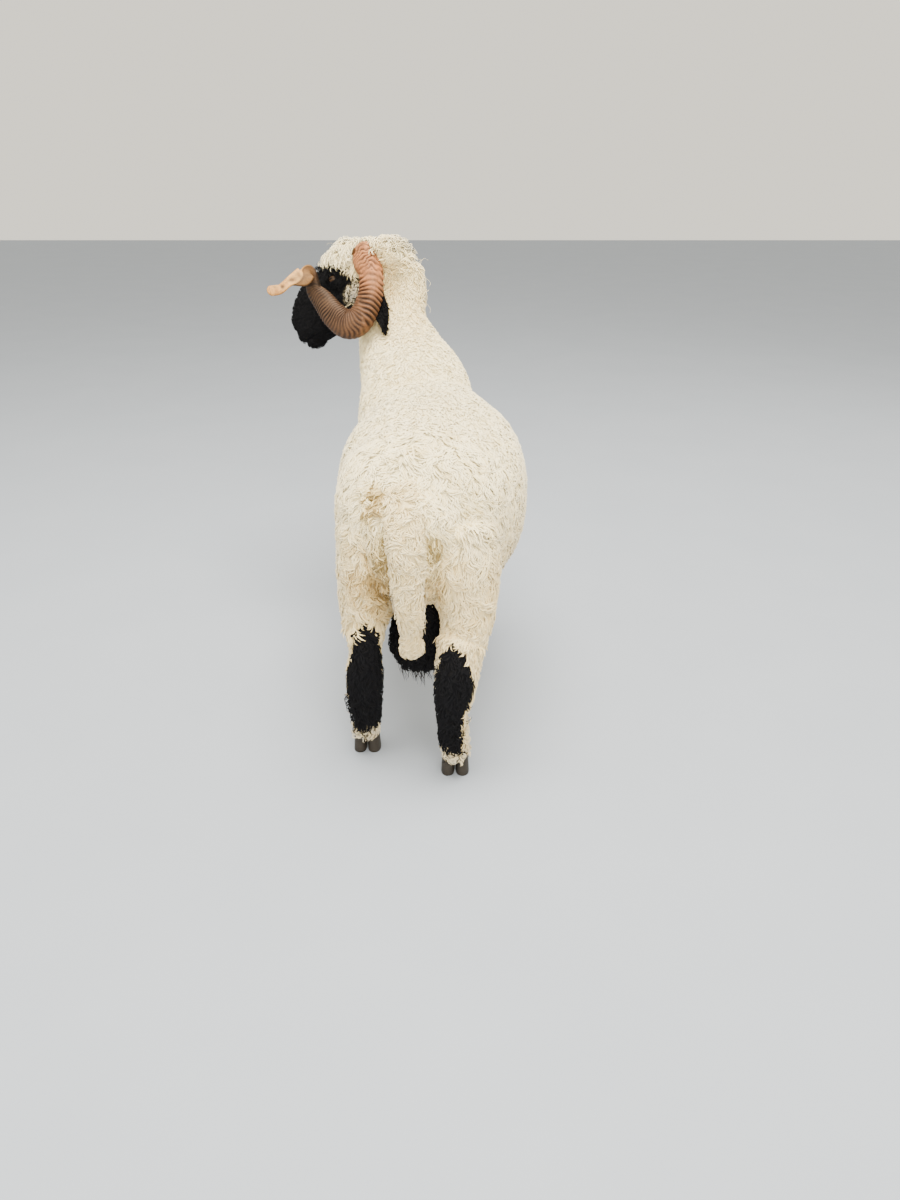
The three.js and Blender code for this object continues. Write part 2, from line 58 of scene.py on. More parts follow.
SHIFT = np.array(
    [
        HOOF_CORNER.x * 1000 - (HOOVES["hind_hoof_left"][0] - CLAW["wide"] - CLAW["apart"]),
        HOOF_CORNER.y * 1000 - (HOOVES["hind_hoof_left"][1] - CLAW["heel"]),
        0.0,
    ]
)


def metres(p):
    """Points of the ram's frame, in millimetres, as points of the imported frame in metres."""
    return (np.asarray(p, float) + SHIFT) / 1000


def millimetres(p):
    """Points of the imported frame, in metres, as points of the ram's frame in millimetres."""
    return p * 1000 - SHIFT


# Lofts: x, y, z, half-width, height above and below the line, and squareness in each row

ROWS = {
    "torso": [
        [12, -30, 600, 96, 86, 130, 2.1],
        [16, 16, 592, 152, 150, 172, 2.15],
        [26, 80, 584, 186, 178, 196, 2.2],
        [38, 160, 578, 208, 196, 214, 2.2],
        [51, 250, 560, 227, 220, 218, 2.4],
        [56, 350, 555, 234, 227, 221, 2.45],
        [55, 450, 558, 225, 228, 216, 2.35],
        [31, 560, 586, 198, 212, 216, 2.15],
        [7, 650, 606, 156, 188, 190, 2.1],
        [1, 716, 622, 118, 148, 142, 2],
    ],
    "neck": [
        [12, 570, 660, 160, 140, 150, 2],
        [3, 664, 728, 152, 126, 142, 2],
        [-34, 758, 802, 124, 100, 124, 2],
        [-62, 820, 880, 100, 78, 92, 2],
        [-63, 852, 950, 101, 68, 60, 2],
        [-68, 864, 1006, 98, 74, 62, 2],
    ],
    "thigh_left": [
        [-60, 90, 560, 96, 124, 124, 2.1],
        [-76, 72, 480, 84, 118, 118, 2.1],
        [-88, 50, 405, 68, 92, 92, 2],
        [-94, 24, 345, 52, 60, 66, 2],
    ],
    "hind_shank_left": [
        [-94, 18, 352, 50, 54, 60, 2],
        [-92, 4, 298, 40, 42, 54, 2],
        [-97, 6, 240, 46, 40, 46, 2],
        [-99, 16, 170, 44, 38, 42, 2],
        [-98, 28, 104, 35, 38, 38, 2],
        [-102, 42, 56, 35, 36, 36, 2],
    ],
    "thigh_right": [
        [114, 60, 560, 94, 124, 124, 2.1],
        [125, 30, 480, 88, 118, 118, 2.1],
        [135, -6, 405, 67, 92, 92, 2],
        [128, -42, 345, 54, 60, 66, 2],
    ],
    "hind_shank_right": [
        [124, -50, 352, 57, 54, 60, 2],
        [115, -72, 298, 53, 42, 54, 2],
        [108, -78, 240, 50, 40, 46, 2],
        [101, -72, 170, 37, 36, 42, 2],
        [104, -62, 104, 35, 38, 38, 2],
        [110, -50, 56, 35, 36, 36, 2],
    ],
    "tail": [
        [4, 4, 668, 44, 34, 40, 2],
        [5, -46, 644, 45, 32, 34, 2],
        [7, -78, 580, 42, 30, 32, 2],
        [11, -88, 490, 38, 28, 30, 2],
        [14, -88, 425, 34, 28, 29, 2],
        [16, -85, 386, 27, 24, 24, 2],
        [17, -82, 350, 33, 28, 28, 2],
    ],
    "scrotum": [
        [26, 62, 450, 44, 34, 34, 2],
        [30, 60, 390, 54, 40, 40, 2],
        [29, 58, 330, 70, 52, 52, 2],
        [26, 56, 280, 72, 56, 56, 2],
        [23, 56, 252, 58, 46, 46, 2],
    ],
    "head": [
        [0, -24, -16, 62, 50, 60, 2.2],
        [0, 28, -14, 74, 66, 98, 2.3],
        [0, 78, -12, 75, 80, 116, 2.3],
        [0, 124, -14, 66, 88, 106, 2.3],
        [0, 168, -18, 57, 103, 88, 2.3],
        [0, 214, -24, 52, 105, 72, 2.3],
        [0, 256, -32, 48, 91, 60, 2.3],
        [0, 288, -40, 42, 66, 46, 2.4],
    ],
    "poll": [
        [0, -74, -10, 75, 38, 60, 2.1],
        [0, -28, 6, 76, 46, 66, 2.2],
        [0, 26, 18, 73, 67, 58, 2.2],
        [0, 72, 36, 68, 75, 36, 2.1],
        [0, 110, 54, 52, 60, 24, 2],
        [0, 136, 62, 34, 42, 14, 2],
    ],
    "ear_left": [
        [-52, -14, -30, 18, 7, 7, 2],
        [-64, -12, -66, 20, 8, 8, 2],
        [-74, -8, -114, 20, 8, 8, 2],
        [-83, -6, -162, 20, 7, 7, 2],
        [-90, 4, -214, 4, 4, 4, 2],
    ],
    "ear_right": [
        [54, 24, -44, 15, 8, 8, 2],
        [98, 42, -60, 17, 8, 8, 2],
        [142, 52, -86, 25, 7, 7, 2],
        [176, 60, -128, 27, 6, 6, 2],
        [194, 64, -172, 19, 5, 5, 2],
        [200, 66, -206, 5, 4, 4, 2],
    ],
}
# A horn's line in the head's frame, on the right: x, y, z, half-width and half-thickness
HORN_ROWS = [
    [20, 12, 2, 33, 28],
    [46, -8, 14, 37, 30],
    [60, -14, -14, 36, 31],
    [70, -18, -47, 32, 30],
    [88, -6, -97, 32, 30],
    [104, 15, -131, 34, 29],
    [117, 46, -154, 38, 28],
    [126, 80, -147, 38, 27],
    [133, 101, -108, 35, 25],
    [138, 111, -65, 31, 20],
    [144, 120, -29, 24, 15],
    [150, 114, -8, 22, 12],
    [160, 107, 12, 24, 9],
    [178, 116, 8, 28, 8],
    [204, 141, 6, 15, 6],
    [230, 163, -7, 14, 6],
    [252, 180, -5, 13, 5],
]
FORELEGS = {"left": (-44, 592), "right": (128, 566)}
for name, (x, y) in FORELEGS.items():
    ROWS[f"arm_{name}"] = [
        [x + 2, y - 6, 500, 74, 92, 92, 2],
        [x + 1, y - 4, 430, 60, 74, 72, 2],
        [x, y, 370, 50, 58, 56, 2],
        [x, y + 6, 318, 44, 48, 46, 2],
    ]
    ROWS[f"fore_shank_{name}"] = [
        [x, y + 4, 322, 44, 48, 46, 2],
        [x, y + 6, 285, 43, 46, 42, 2],
        [x, y, 225, 37, 38, 38, 2],
        [x, y - 2, 160, 35, 36, 36, 2],
        [x, y + 4, 102, 36, 38, 38, 2],
        [x, y + 16, 56, 34, 36, 36, 2],
    ]

# The head's frame, in which +Y runs down the nose and +Z out of the forehead
HEAD_AT = (-110, 862, 1026)
HEAD_TURN = (
    Matrix.Rotation(math.radians(68), 3, "Z")
    @ Matrix.Rotation(math.radians(-34), 3, "X")
    @ Matrix.Rotation(math.radians(16), 3, "Y")
)
HEAD_R = np.array(HEAD_TURN)


def from_head(p):
    """Points of the head's frame as points of the ram's."""
    return np.asarray(p, float) @ HEAD_R.T + HEAD_AT


def to_head(p):
    """Points of the ram's frame as points of the head's."""
    return (np.asarray(p, float) - HEAD_AT) @ HEAD_R


def catmull(rows, t):
    """Catmull-Rom through rows of numbers at each t, from 0 to len(rows) - 1."""
    rows = np.asarray(rows, float)
    t = np.asarray(t, float)
    last = len(rows) - 1
    i = np.clip(np.floor(t).astype(int), 0, last - 1)
    f = (t - i)[..., None]
    a, b, c, d = (rows[np.clip(i + k, 0, last)] for k in (-1, 0, 1, 2))
    return 0.5 * (
        2 * b
        + (c - a) * f
        + (2 * a - 5 * b + 4 * c - d) * f**2
        + (3 * b - a - 3 * c + d) * f**3
    )


def unit(v):
    """Each vector at a length of one."""
    return v / (np.linalg.norm(v, axis=-1, keepdims=True) + 1e-12)


def signed_power(x, power):
    """x raised to a power, with its sign kept."""
    return np.sign(x) * np.abs(x) ** power


class Loft:
    """A lofted body: x, y, z, half-width, height above and below, squareness in each row."""

    def __init__(self, name, up, caps, inset, in_head=False):
        self.name = name
        self.rows = np.array(ROWS[name], float)
        self.up = unit(np.array(up, float))
        self.caps = caps
        self.inset = inset
        self.in_head = in_head
        self.last = len(self.rows) - 1

    def axes(self, t):
        """At each t, the ways ahead along the line, to its side and up from it."""
        gap = 0.02
        a = catmull(self.rows, np.maximum(t - gap, 0))[..., :3]
        b = catmull(self.rows, np.minimum(t + gap, self.last))[..., :3]
        ahead = unit(b - a)
        side = unit(np.cross(ahead, self.up))
        return ahead, side, np.cross(side, ahead)

    def place(self, t, a, grow=0.0, shrink=1.0, push=0.0):
        """Points on the loft at each t and angle a round its line."""
        ahead, side, high = self.axes(t)
        row = catmull(self.rows, t)
        power = 2 / row[..., 6]
        c, s = np.cos(a), np.sin(a)
        u = (row[..., 3] + grow) * signed_power(c, power) * shrink
        tall = np.where(s > 0, row[..., 4], row[..., 5]) + grow
        v = tall * signed_power(s, power) * shrink
        push = np.broadcast_to(push, u.shape)[..., None]
        p = row[..., :3] + side * u[..., None] + high * v[..., None] + ahead * push
        return from_head(p) if self.in_head else p

    def stations(self, per_span, grow):
        """The t of each ring, its size as a share and its push along the line: round at the ends."""
        low, high = (
            min(self.rows[k][3], (self.rows[k][4] + self.rows[k][5]) / 2) * cap + grow
            for k, cap in ((0, self.caps[0]), (-1, self.caps[1]))
        )
        turns = [1.45, 1.2, 0.9, 0.6, 0.3]
        out = [(0, math.cos(q), -low * math.sin(q)) for q in turns]
        out += [(i / per_span, 1, 0) for i in range(self.last * per_span + 1)]
        out += [(self.last, math.cos(q), high * math.sin(q)) for q in reversed(turns)]
        return np.array(out)

    def grid(self, per_span, sides, grow):
        """The t and angle of every point of the rings, and the points themselves."""
        stations = self.stations(per_span, grow)
        t, shrink, push = (np.repeat(stations[:, k : k + 1], sides, 1) for k in range(3))
        a = np.broadcast_to(np.arange(sides) / sides * 2 * math.pi, t.shape)
        return t, a, self.place(t, a, grow, shrink, push)

    def mesh(self, per_span=6, sides=48):
        t, a, p = self.grid(per_span, sides, -self.inset)
        return ring_mesh(p), t, a


def ring_mesh(p):
    """Vertices and faces of rings of points, p[ring, point], with a fan at each end."""
    n, m = p.shape[:2]
    j = np.arange(m)
    k = (j + 1) % m
    quads = [
        np.stack([i * m + j, i * m + k, (i + 1) * m + k, (i + 1) * m + j], 1)
        for i in range(n - 1)
    ]
    faces = [tuple(q) for q in np.concatenate(quads)]
    points = np.concatenate([p.reshape(-1, 3), [p[0].mean(0), p[-1].mean(0)]])
    faces += [(n * m, int(b), int(a)) for a, b in zip(j, k)]
    faces += [(n * m + 1, int((n - 1) * m + a), int((n - 1) * m + b)) for a, b in zip(j, k)]
    return points, faces


def ellipsoid(at, radii, in_head=True, sides=32, rings=20):
    phi = np.linspace(0.05, math.pi - 0.05, rings)[:, None]
    th = np.arange(sides)[None] / sides * 2 * math.pi
    p = np.stack(
        [np.sin(phi) * np.cos(th), np.sin(phi) * np.sin(th), np.cos(phi) * np.ones_like(th)], -1
    )
    p = p * np.array(radii) + np.array(at)
    return ring_mesh(from_head(p) if in_head else p)


def joined(pieces):
    """The points and faces of several pieces as one."""
    points, faces, base = [], [], 0
    for p, f in pieces:
        points.append(p)
        faces += [tuple(i + base for i in q) for q in f]
        base += len(p)
    return np.concatenate(points), faces


def object_from(name, points, faces):
    mesh = bpy.data.meshes.new(name)
    mesh.from_pydata([tuple(q) for q in points], [], [tuple(int(i) for i in f) for f in faces])
    mesh.update()
    mesh.polygons.foreach_set("use_smooth", [True] * len(mesh.polygons))
    obj = bpy.data.objects.new(name, mesh)
    bpy.context.scene.collection.objects.link(obj)
    return obj


def vertex_values(mesh, key):
    """A vector of each vertex, its place or its normal, as rows."""
    out = np.empty(len(mesh.vertices) * 3)
    mesh.vertices.foreach_get(key, out)
    return out.reshape(-1, 3)


def triangle_areas(points, tris):
    edges = points[tris[:, 1:]] - points[tris[:, :1]]
    return np.linalg.norm(np.cross(edges[:, 0], edges[:, 1]), axis=1) / 2


GRID_CELLS = 8192


def first_in_cells(p, size):
    """The index of the first point in each cube of a grid, in the order of the cubes."""
    cell = np.floor(p / size).astype(np.int64) + GRID_CELLS // 2
    key = (cell[:, 0] * GRID_CELLS + cell[:, 1]) * GRID_CELLS + cell[:, 2]
    return np.unique(key, return_index=True)[1]


def kd_tree(points):
    kd = KDTree(len(points))
    for i, q in enumerate(points):
        kd.insert(Vector(q), i)
    kd.balance()
    return kd


LEG_UP = (0, 1, 0)
LOFTS = [
    Loft("torso", (0, 0, 1), (0.45, 0.4), 8),
    Loft("neck", (0, -1, 0.75), (0.4, 0.6), 9),
    Loft("head", (0, 0, 1), (0.5, 0.5), 3, True),
    Loft("poll", (0, 0, 1), (0.5, 0.4), 15, True),
    Loft("tail", LEG_UP, (0.5, 0.9), 8),
    Loft("scrotum", LEG_UP, (0.4, 0.7), 9),
    *(Loft(f"thigh_{s}", LEG_UP, (0.5, 0.3), 10) for s in SIDES.values()),
    *(Loft(f"hind_shank_{s}", LEG_UP, (0.4, 0.2), 7) for s in SIDES.values()),
    *(Loft(f"arm_{s}", LEG_UP, (0.5, 0.3), 9) for s in SIDES.values()),
    *(Loft(f"fore_shank_{s}", LEG_UP, (0.4, 0.2), 7) for s in SIDES.values()),
]
REGION = {loft.name: i for i, loft in enumerate(LOFTS)}
EARS = {
    -1: Loft("ear_left", (-0.86, -0.5, 0), (0.3, 0.6), 0, True),
    1: Loft("ear_right", (0.6, 0, 0.8), (0.3, 0.6), 0, True),
}


# Skin

EYE_RADIUS = 14
EYE_AT = (58, 102, 10)
NOSTRIL_AT = (18, 300, -30)
SKIN_VOXEL = 7
HEAD_VOXEL = 2.6
HEAD_PARTS = ("head", "poll")


def remeshed(name, pieces, voxel, smooth):
    """One closed surface round the pieces."""
    points, faces = joined(pieces)
    obj = object_from(name, metres(points), faces)
    bpy.context.view_layer.objects.active = obj
    mod = obj.modifiers.new("fuse", "REMESH")
    mod.mode = "VOXEL"
    mod.voxel_size = voxel / 1000
    mod.use_smooth_shade = True
    mod = obj.modifiers.new("soften", "SMOOTH")
    mod.factor = 0.5
    mod.iterations = smooth
    deps = bpy.context.evaluated_depsgraph_get()
    mesh = bpy.data.meshes.new_from_object(obj.evaluated_get(deps))
    old = obj.data
    obj.modifiers.clear()
    obj.data = mesh
    bpy.data.meshes.remove(old)
    return obj


def step(x, lo, hi):
    """A smooth rise from 0 at lo to 1 at hi."""
    u = np.clip((x - lo) / (hi - lo), 0, 1)
    return u * u * (3 - 2 * u)


def mouth_line(y):
    """Height of the line between the lips, in the head's frame."""
    return -70 + 0.12 * (y - 274)


def carve_face(p):
    """Moves points of the head, in its own frame: eye slits, nostrils, mouth, nose folds."""
    p = p.copy()
    ex, ey, ez = EYE_AT
    for side in SIDES:
        x, y, z = p[:, 0] * side, p[:, 1], p[:, 2]
        # hollow in front of and below the eye
        g = np.exp(-(((y - ey - 30) / 20) ** 2 + ((z - ez + 14) / 18) ** 2))
        p[:, 0] -= side * 5 * g * (x > 20)
        # slit between the lids
        r = ((y - ey) / 15) ** 2 + ((z - ez - 0.08 * (y - ey)) / 7.6) ** 2
        deep = np.where((r < 1) & (x > 44), 11 * np.sqrt(np.clip(1 - r, 0, 1)) + 2, 0)
        p[:, 0] -= side * deep
        # nostril, a comma that opens forward and out
        nx, nz = p[:, 0] * side - NOSTRIL_AT[0], p[:, 2] - NOSTRIL_AT[2]
        r = (nx / 7) ** 2 + (nz / 9.5 + nx / 14) ** 2
        opening = (r < 1) & (p[:, 1] > NOSTRIL_AT[1] - 18)
        p[:, 1] -= np.where(opening, 11 * np.sqrt(np.clip(1 - r, 0, 1)), 0)
    # line of the mouth
    y, z = p[:, 1], p[:, 2]
    near = np.exp(-(((z - mouth_line(y)) / 2.6) ** 2)) * step(y, 222, 238)
    middle = np.array([0, 258, -66])
    out = unit(p - middle)
    out[:, 2] = 0
    p -= out * (5.5 * near)[:, None]
    # groove down the middle of the upper lip
    cleft = np.exp(-((p[:, 0] / 2.4) ** 2)) * step(p[:, 1], 296, 304) * step(-p[:, 2], 34, 42)
    p[:, 1] -= 4 * cleft * (p[:, 2] > -70)
    return p


def face_parts():
    """Rounded pieces of the head: brows and cheeks, nostril wings, lips and chin."""
    out = []
    ex, ey, ez = EYE_AT
    for side in SIDES:
        out.append(ellipsoid((side * (ex - 2), ey, ez), (19, 24, 18)))
        out.append(ellipsoid((side * (ex - 6), ey - 4, ez + 15), (17, 27, 9)))
        out.append(ellipsoid((side * 46, 92, -52), (24, 46, 40)))
        out.append(ellipsoid((side * 17, 292, -32), (15, 17, 15)))
    out.append(ellipsoid((0, 288, -50), (37, 23, 24)))
    out.append(ellipsoid((0, 271, -79), (31, 25, 13)))
    return out


body_pieces = [loft.mesh()[0] for loft in LOFTS if loft.name not in HEAD_PARTS]
head_pieces = [loft.mesh()[0] for loft in LOFTS if loft.name in HEAD_PARTS] + face_parts()
skin = remeshed("skin", body_pieces, SKIN_VOXEL, 5)
head_skin = remeshed("head_skin", head_pieces, HEAD_VOXEL, 3)
plain_head = to_head(millimetres(vertex_values(head_skin.data, "co")))
carved_head = metres(from_head(carve_face(plain_head)))
head_skin.data.vertices.foreach_set("co", carved_head.ravel())
head_skin.data.update()

# The head and the body are one skin: they meet deep under the wool of the neck
bm = bmesh.new()
bm.from_mesh(skin.data)
bm.from_mesh(head_skin.data)
bm.to_mesh(skin.data)
bm.free()
bpy.data.objects.remove(head_skin)
skin.data.polygons.foreach_set("use_smooth", [True] * len(skin.data.polygons))
skin.data.update()


class Surface:
    """The skin's triangles, each vertex with the loft it lies on and its place there."""

    def __init__(self, obj):
        mesh = obj.data
        mesh.calc_loop_triangles()
        self.points = millimetres(vertex_values(mesh, "co"))
        self.normals = vertex_values(mesh, "normal")
        self.tris = np.empty(len(mesh.loop_triangles) * 3, np.int64)
        mesh.loop_triangles.foreach_get("vertices", self.tris)
        self.tris = self.tris.reshape(-1, 3)
        samples, tags = [], []
        for i, loft in enumerate(LOFTS):
            (p, _), t, a = loft.mesh(4, 40)
            n = t.size
            samples.append(p[:n])
            tags.append(np.stack([np.full(n, i), t.ravel(), a.ravel()], 1))
        samples, tags = np.concatenate(samples), np.concatenate(tags)
        tree = BVHTree.FromPolygons(
            [Vector(q) for q in self.points], [tuple(int(i) for i in f) for f in self.tris]
        )
        close = np.array([tree.find_nearest(Vector(q), 14)[0] is not None for q in samples])
        samples, tags = samples[close], tags[close]
        kd = kd_tree(samples)
        nearest = np.array([kd.find(Vector(q))[1] for q in self.points])
        self.region = tags[nearest, 0].astype(int)
        self.t = tags[nearest, 1]
        self.a = tags[nearest, 2]
        self.area = triangle_areas(self.points, self.tris)

    def roots(self, names, spacing, seed, keep=None):
        """Points spread evenly over the named lofts' share of the skin."""
        rng = np.random.default_rng(seed)
        wanted = np.isin(self.region[self.tris[:, 0]], [REGION[n] for n in names])
        faces = np.nonzero(wanted)[0]
        area = self.area[faces]
        count = int(area.sum() / spacing**2 * 4)
        pick = faces[np.searchsorted(np.cumsum(area) / area.sum(), rng.random(count))]
        u, v = rng.random(count), rng.random(count)
        flip = u + v > 1
        u[flip], v[flip] = 1 - u[flip], 1 - v[flip]
        tri = self.tris[pick]
        w = np.stack([1 - u - v, u, v], 1)[..., None]
        p = (self.points[tri] * w).sum(1)
        n = unit((self.normals[tri] * w).sum(1))
        first = np.sort(first_in_cells(p, spacing))
        corner = tri[first, 0]
        got = {
            "p": p[first],
            "n": n[first],
            "region": self.region[corner],
            "t": self.t[corner],
            "a": self.a[corner],
        }
        if keep is not None:
            ok = keep(got)
            got = {k: v[ok] for k, v in got.items()}
        return got


surface = Surface(skin)


# Markings


def wobble(p, size, seed):
    """Smooth waves over space, from -1 to 1, that make an edge uneven."""
    rng = np.random.default_rng(seed)
    out = np.zeros(len(p))
    for k in range(6):
        way = unit(rng.normal(size=3)) / size * (1 + 0.35 * k)
        out += np.sin(p @ way * 2 * math.pi + rng.random() * 6.28) / 6 * 1.6
    return np.clip(out, -1, 1)


def inside(p, at, radii, soft=0.35):
    """1 inside an ellipsoid and 0 outside, with an edge as soft as a share of its radii."""
    r = np.linalg.norm((p - np.array(at)) / np.array(radii), axis=1)
    return 1 - step(r, 1 - soft, 1 + soft)


# How far back the black of the face reaches, by height, in the head's frame
FACE_EDGE_UP = [-130, -34, 8, 58, 80, 110]
FACE_EDGE_BACK = [34, 26, 47, 90, 118, 140]
CHEEK_AT = (68, 60, -62)
CHEEK_RADII = (34, 26, 21)

# The black of each hind leg: which way it faces, how high it reaches, and its front edge
HIND_BLACK = {
    -1: {"rear": (0.22, -0.97), "top": 394, "front": (0.45, 0.9), "edge": 0.66},
    1: {"rear": (-0.35, -0.94), "top": 372, "front": (0.85, 0.52), "edge": 0.40},
}

# Patches of wool: centre, radii, softness and strength
RUMP_STAIN = ((-52, -16, 666), (29, 42, 42), 0.5)
# Warm wool round the rear of each thigh, partly its own tone and partly painted shade, stronger on
# the left thigh
WARM_SEATS = (
    ((-68, -20, 470), (80, 95, 120), 0.6, 0.85),
    ((96, -46, 470), (80, 95, 120), 0.6, 0.6),
)
WARM_PATCHES = (
    (*RUMP_STAIN, 0.5),
    ((178, -8, 470), (34, 70, 90), 0.6, 0.6),
    # Painted shade on the inner rear of the left thigh, beside the tail
    ((-52, -20, 485), (40, 60, 85), 0.7, 0.85),
    ((-100, 780, 985), (80, 70, 85), 0.8, 0.62),
)
# A real stain on the rump, and in the creases either side of the tail soiled wool with painted shade
STAIN_AND_CREASE_SHADE_PATCHES = (
    (*RUMP_STAIN, 1.15),
    ((-40, -40, 560), (17, 70, 66), 0.6, 1.1),
    ((-50, -30, 500), (36, 70, 90), 0.6, 0.75),
    ((58, -50, 574), (20, 50, 38), 0.6, 1.05),
    ((62, -40, 500), (24, 60, 70), 0.6, 0.7),
)


def strongest(p, patches):
    """The strongest of the patches at each point."""
    out = np.zeros(len(p))
    for at, radii, soft, strength in patches:
        out = np.maximum(out, strength * inside(p, at, radii, soft))
    return out


def head_marks(h, on_head, edge, fine):
    """How dark and how grey the head is: a black face, paler cheeks whose white wool is painted grey
    as shade, and a dark throat.
    """
    back = np.interp(h[:, 2], FACE_EDGE_UP, FACE_EDGE_BACK) + 3 * edge + 4 * fine
    face = step(h[:, 1], back - 4, back + 4)
    x, y, z = CHEEK_AT
    cheek = np.maximum(*(inside(h, (s * x, y, z), CHEEK_RADII, 0.55) for s in SIDES))
    cheek = np.clip(cheek * (1 + 0.5 * fine), 0, 1)
    dark = np.where(on_head, face * (1 - cheek), 0)
    throat = (h[:, 2] < -72) & (h[:, 1] > 4) & (h[:, 1] < 90) & on_head
    dark = np.where(throat, np.maximum(dark, 0.75 * (fine > -0.25)), dark)
    return dark, np.where(on_head, cheek, 0)


def hind_black(side, p, n, edge, fine):
    """Black down the back of a hind leg, in a tongue that is highest in its middle."""
    black = HIND_BLACK[side]
    flat = unit(n[:, :2])
    out = flat[:, 0] * side * black["front"][0] + flat[:, 1] * black["front"][1]
    dark = 1 - step(out + 0.12 * edge, black["edge"] - 0.12, black["edge"] + 0.12)
    turn = np.arccos(np.clip(flat @ unit(np.array(black["rear"])), -1, 1))
    top = black["top"] - 62 * turn**1.6 + 5 * edge + 5 * fine
    dark *= 1 - step(p[:, 2], top - 5, top + 5)
    dark *= step(p[:, 2] + 12 * fine, 78, 92)
    return dark


def fore_black(p, n, edge, fine):
    """Black over the front of a knee and round the foot of a foreleg."""
    knee = step(p[:, 2] + 8 * edge, 222, 236) * (1 - step(p[:, 2] + 8 * edge, 296, 310))
    knee *= step(n[:, 1] + 0.3 * fine, -0.1, 0.2)
    boot = 1 - step(p[:, 2] + 10 * edge, 112, 126)
    return np.maximum(knee, boot)


def markings(p, n, region):
    """How dark each point is, 0 cream to 1 black, then how warm, how grey, and how soiled or painted
    with crease shade.
    """
    edge = wobble(p, 34, 1)
    fine = wobble(p, 13, 2)
    on_head = np.isin(region, [REGION[name] for name in HEAD_PARTS])
    on_tail = region == REGION["tail"]
    dark, grey = head_marks(to_head(p), on_head, edge, fine)
    dark = np.where(region == REGION["scrotum"], 1.0, dark)
    for side, name in SIDES.items():
        leg = np.isin(region, [REGION[f"hind_shank_{name}"], REGION[f"thigh_{name}"]])
        dark = np.where(leg, hind_black(side, p, n, edge, fine), dark)
        grey = np.where(leg & (p[:, 2] < 100), 0.5 + 0.3 * fine, grey)
        dark = np.where(region == REGION[f"fore_shank_{name}"], fore_black(p, n, edge, fine), dark)
    warm = strongest(p, WARM_PATCHES)
    for patch in WARM_SEATS:
        warm = np.maximum(warm, strongest(p, [patch]) * (0.8 + 0.35 * edge))
    warm = np.maximum(warm, 0.32 * step(p[:, 2], 820, 910) * (region == REGION["neck"]))
    # Warmer towards the bottom of the body, partly the wool's own tone and partly painted shade
    warm = np.maximum(warm, 0.56 * (1 - step(p[:, 2], 400, 720)) * (0.85 + 0.35 * edge))
    warm = np.maximum(warm, 0.48 * on_tail * (0.8 + 0.4 * fine))
    # Darker under the real stain on the rump, and painted shade with some soiling in the creases
    # beside the tail
    soil_and_shade = strongest(p, STAIN_AND_CREASE_SHADE_PATCHES) * (np.clip(0.75 + 0.5 * fine, 0, 1) * ~on_head * ~on_tail)
    return dark, np.clip(warm, 0, 1), np.clip(grey, 0, 1), soil_and_shade


# Materials


def new_material(name, roughness, specular):
    mat = bpy.data.materials.new(name)
    mat.use_nodes = True
    nodes = mat.node_tree.nodes
    bsdf = nodes["Principled BSDF"]
    bsdf.inputs["Roughness"].default_value = roughness
    bsdf.inputs["Specular IOR Level"].default_value = specular
    return mat, nodes, mat.node_tree.links, bsdf


def attribute(nodes, key):
    a = nodes.new("ShaderNodeAttribute")
    a.attribute_name = key
    return a.outputs["Fac"]


def ramped(nodes, links, source, stops):
    """The source turned into a colour by stops of place and colour."""
    r = nodes.new("ShaderNodeValToRGB")
    el = r.color_ramp.elements
    while len(el) > 1:
        el.remove(el[-1])
    el[0].position, el[0].color = stops[0][0], (*stops[0][1], 1)
    for at, colour in stops[1:]:
        e = el.new(at)
        e.color = (*colour, 1)
    links.new(source, r.inputs["Fac"])
    return r.outputs["Color"]


def noise(nodes, links, scale, detail=3.0, rough=0.55):
    co = nodes.new("ShaderNodeTexCoord")
    n = nodes.new("ShaderNodeTexNoise")
    n.inputs["Scale"].default_value = scale
    n.inputs["Detail"].default_value = detail
    n.inputs["Roughness"].default_value = rough
    links.new(co.outputs["Object"], n.inputs["Vector"])
    return n.outputs


def mixed(nodes, links, a, b, factor, how="MIX"):
    m = nodes.new("ShaderNodeMix")
    m.data_type = "RGBA"
    m.blend_type = how
    for socket, value in ((m.inputs[6], a), (m.inputs[7], b), (m.inputs[0], factor)):
        if isinstance(value, bpy.types.NodeSocket):
            links.new(value, socket)
        else:
            socket.default_value = value if isinstance(value, float) else (*value, 1)
    return m.outputs[2]


def times(nodes, links, colour, source, stops):
    """The colour multiplied by the ramp of a source."""
    return mixed(nodes, links, colour, ramped(nodes, links, source, stops), 1.0, "MULTIPLY")


def bumped(nodes, links, bsdf, height, distance, strength=1.0):
    b = nodes.new("ShaderNodeBump")
    b.inputs["Distance"].default_value = distance
    b.inputs["Strength"].default_value = strength
    links.new(height, b.inputs["Height"])
    links.new(b.outputs["Normal"], bsdf.inputs["Normal"])


CREAM = (0.96, 0.835, 0.51)
WARM = (0.71, 0.485, 0.2)
BLACK = (0.0042, 0.0042, 0.0055)
# Grey: real grey-white hair low on the hind legs, and painted shade over the white wool of the
# cheeks
GREY = (0.50, 0.47, 0.42)
WHITE = (1.0, 1.0, 1.0)
WOOL_TONES = [(0.0, (0.27, 0.22, 0.11)), (0.4, (0.86, 0.80, 0.66)), (0.75, WHITE)]


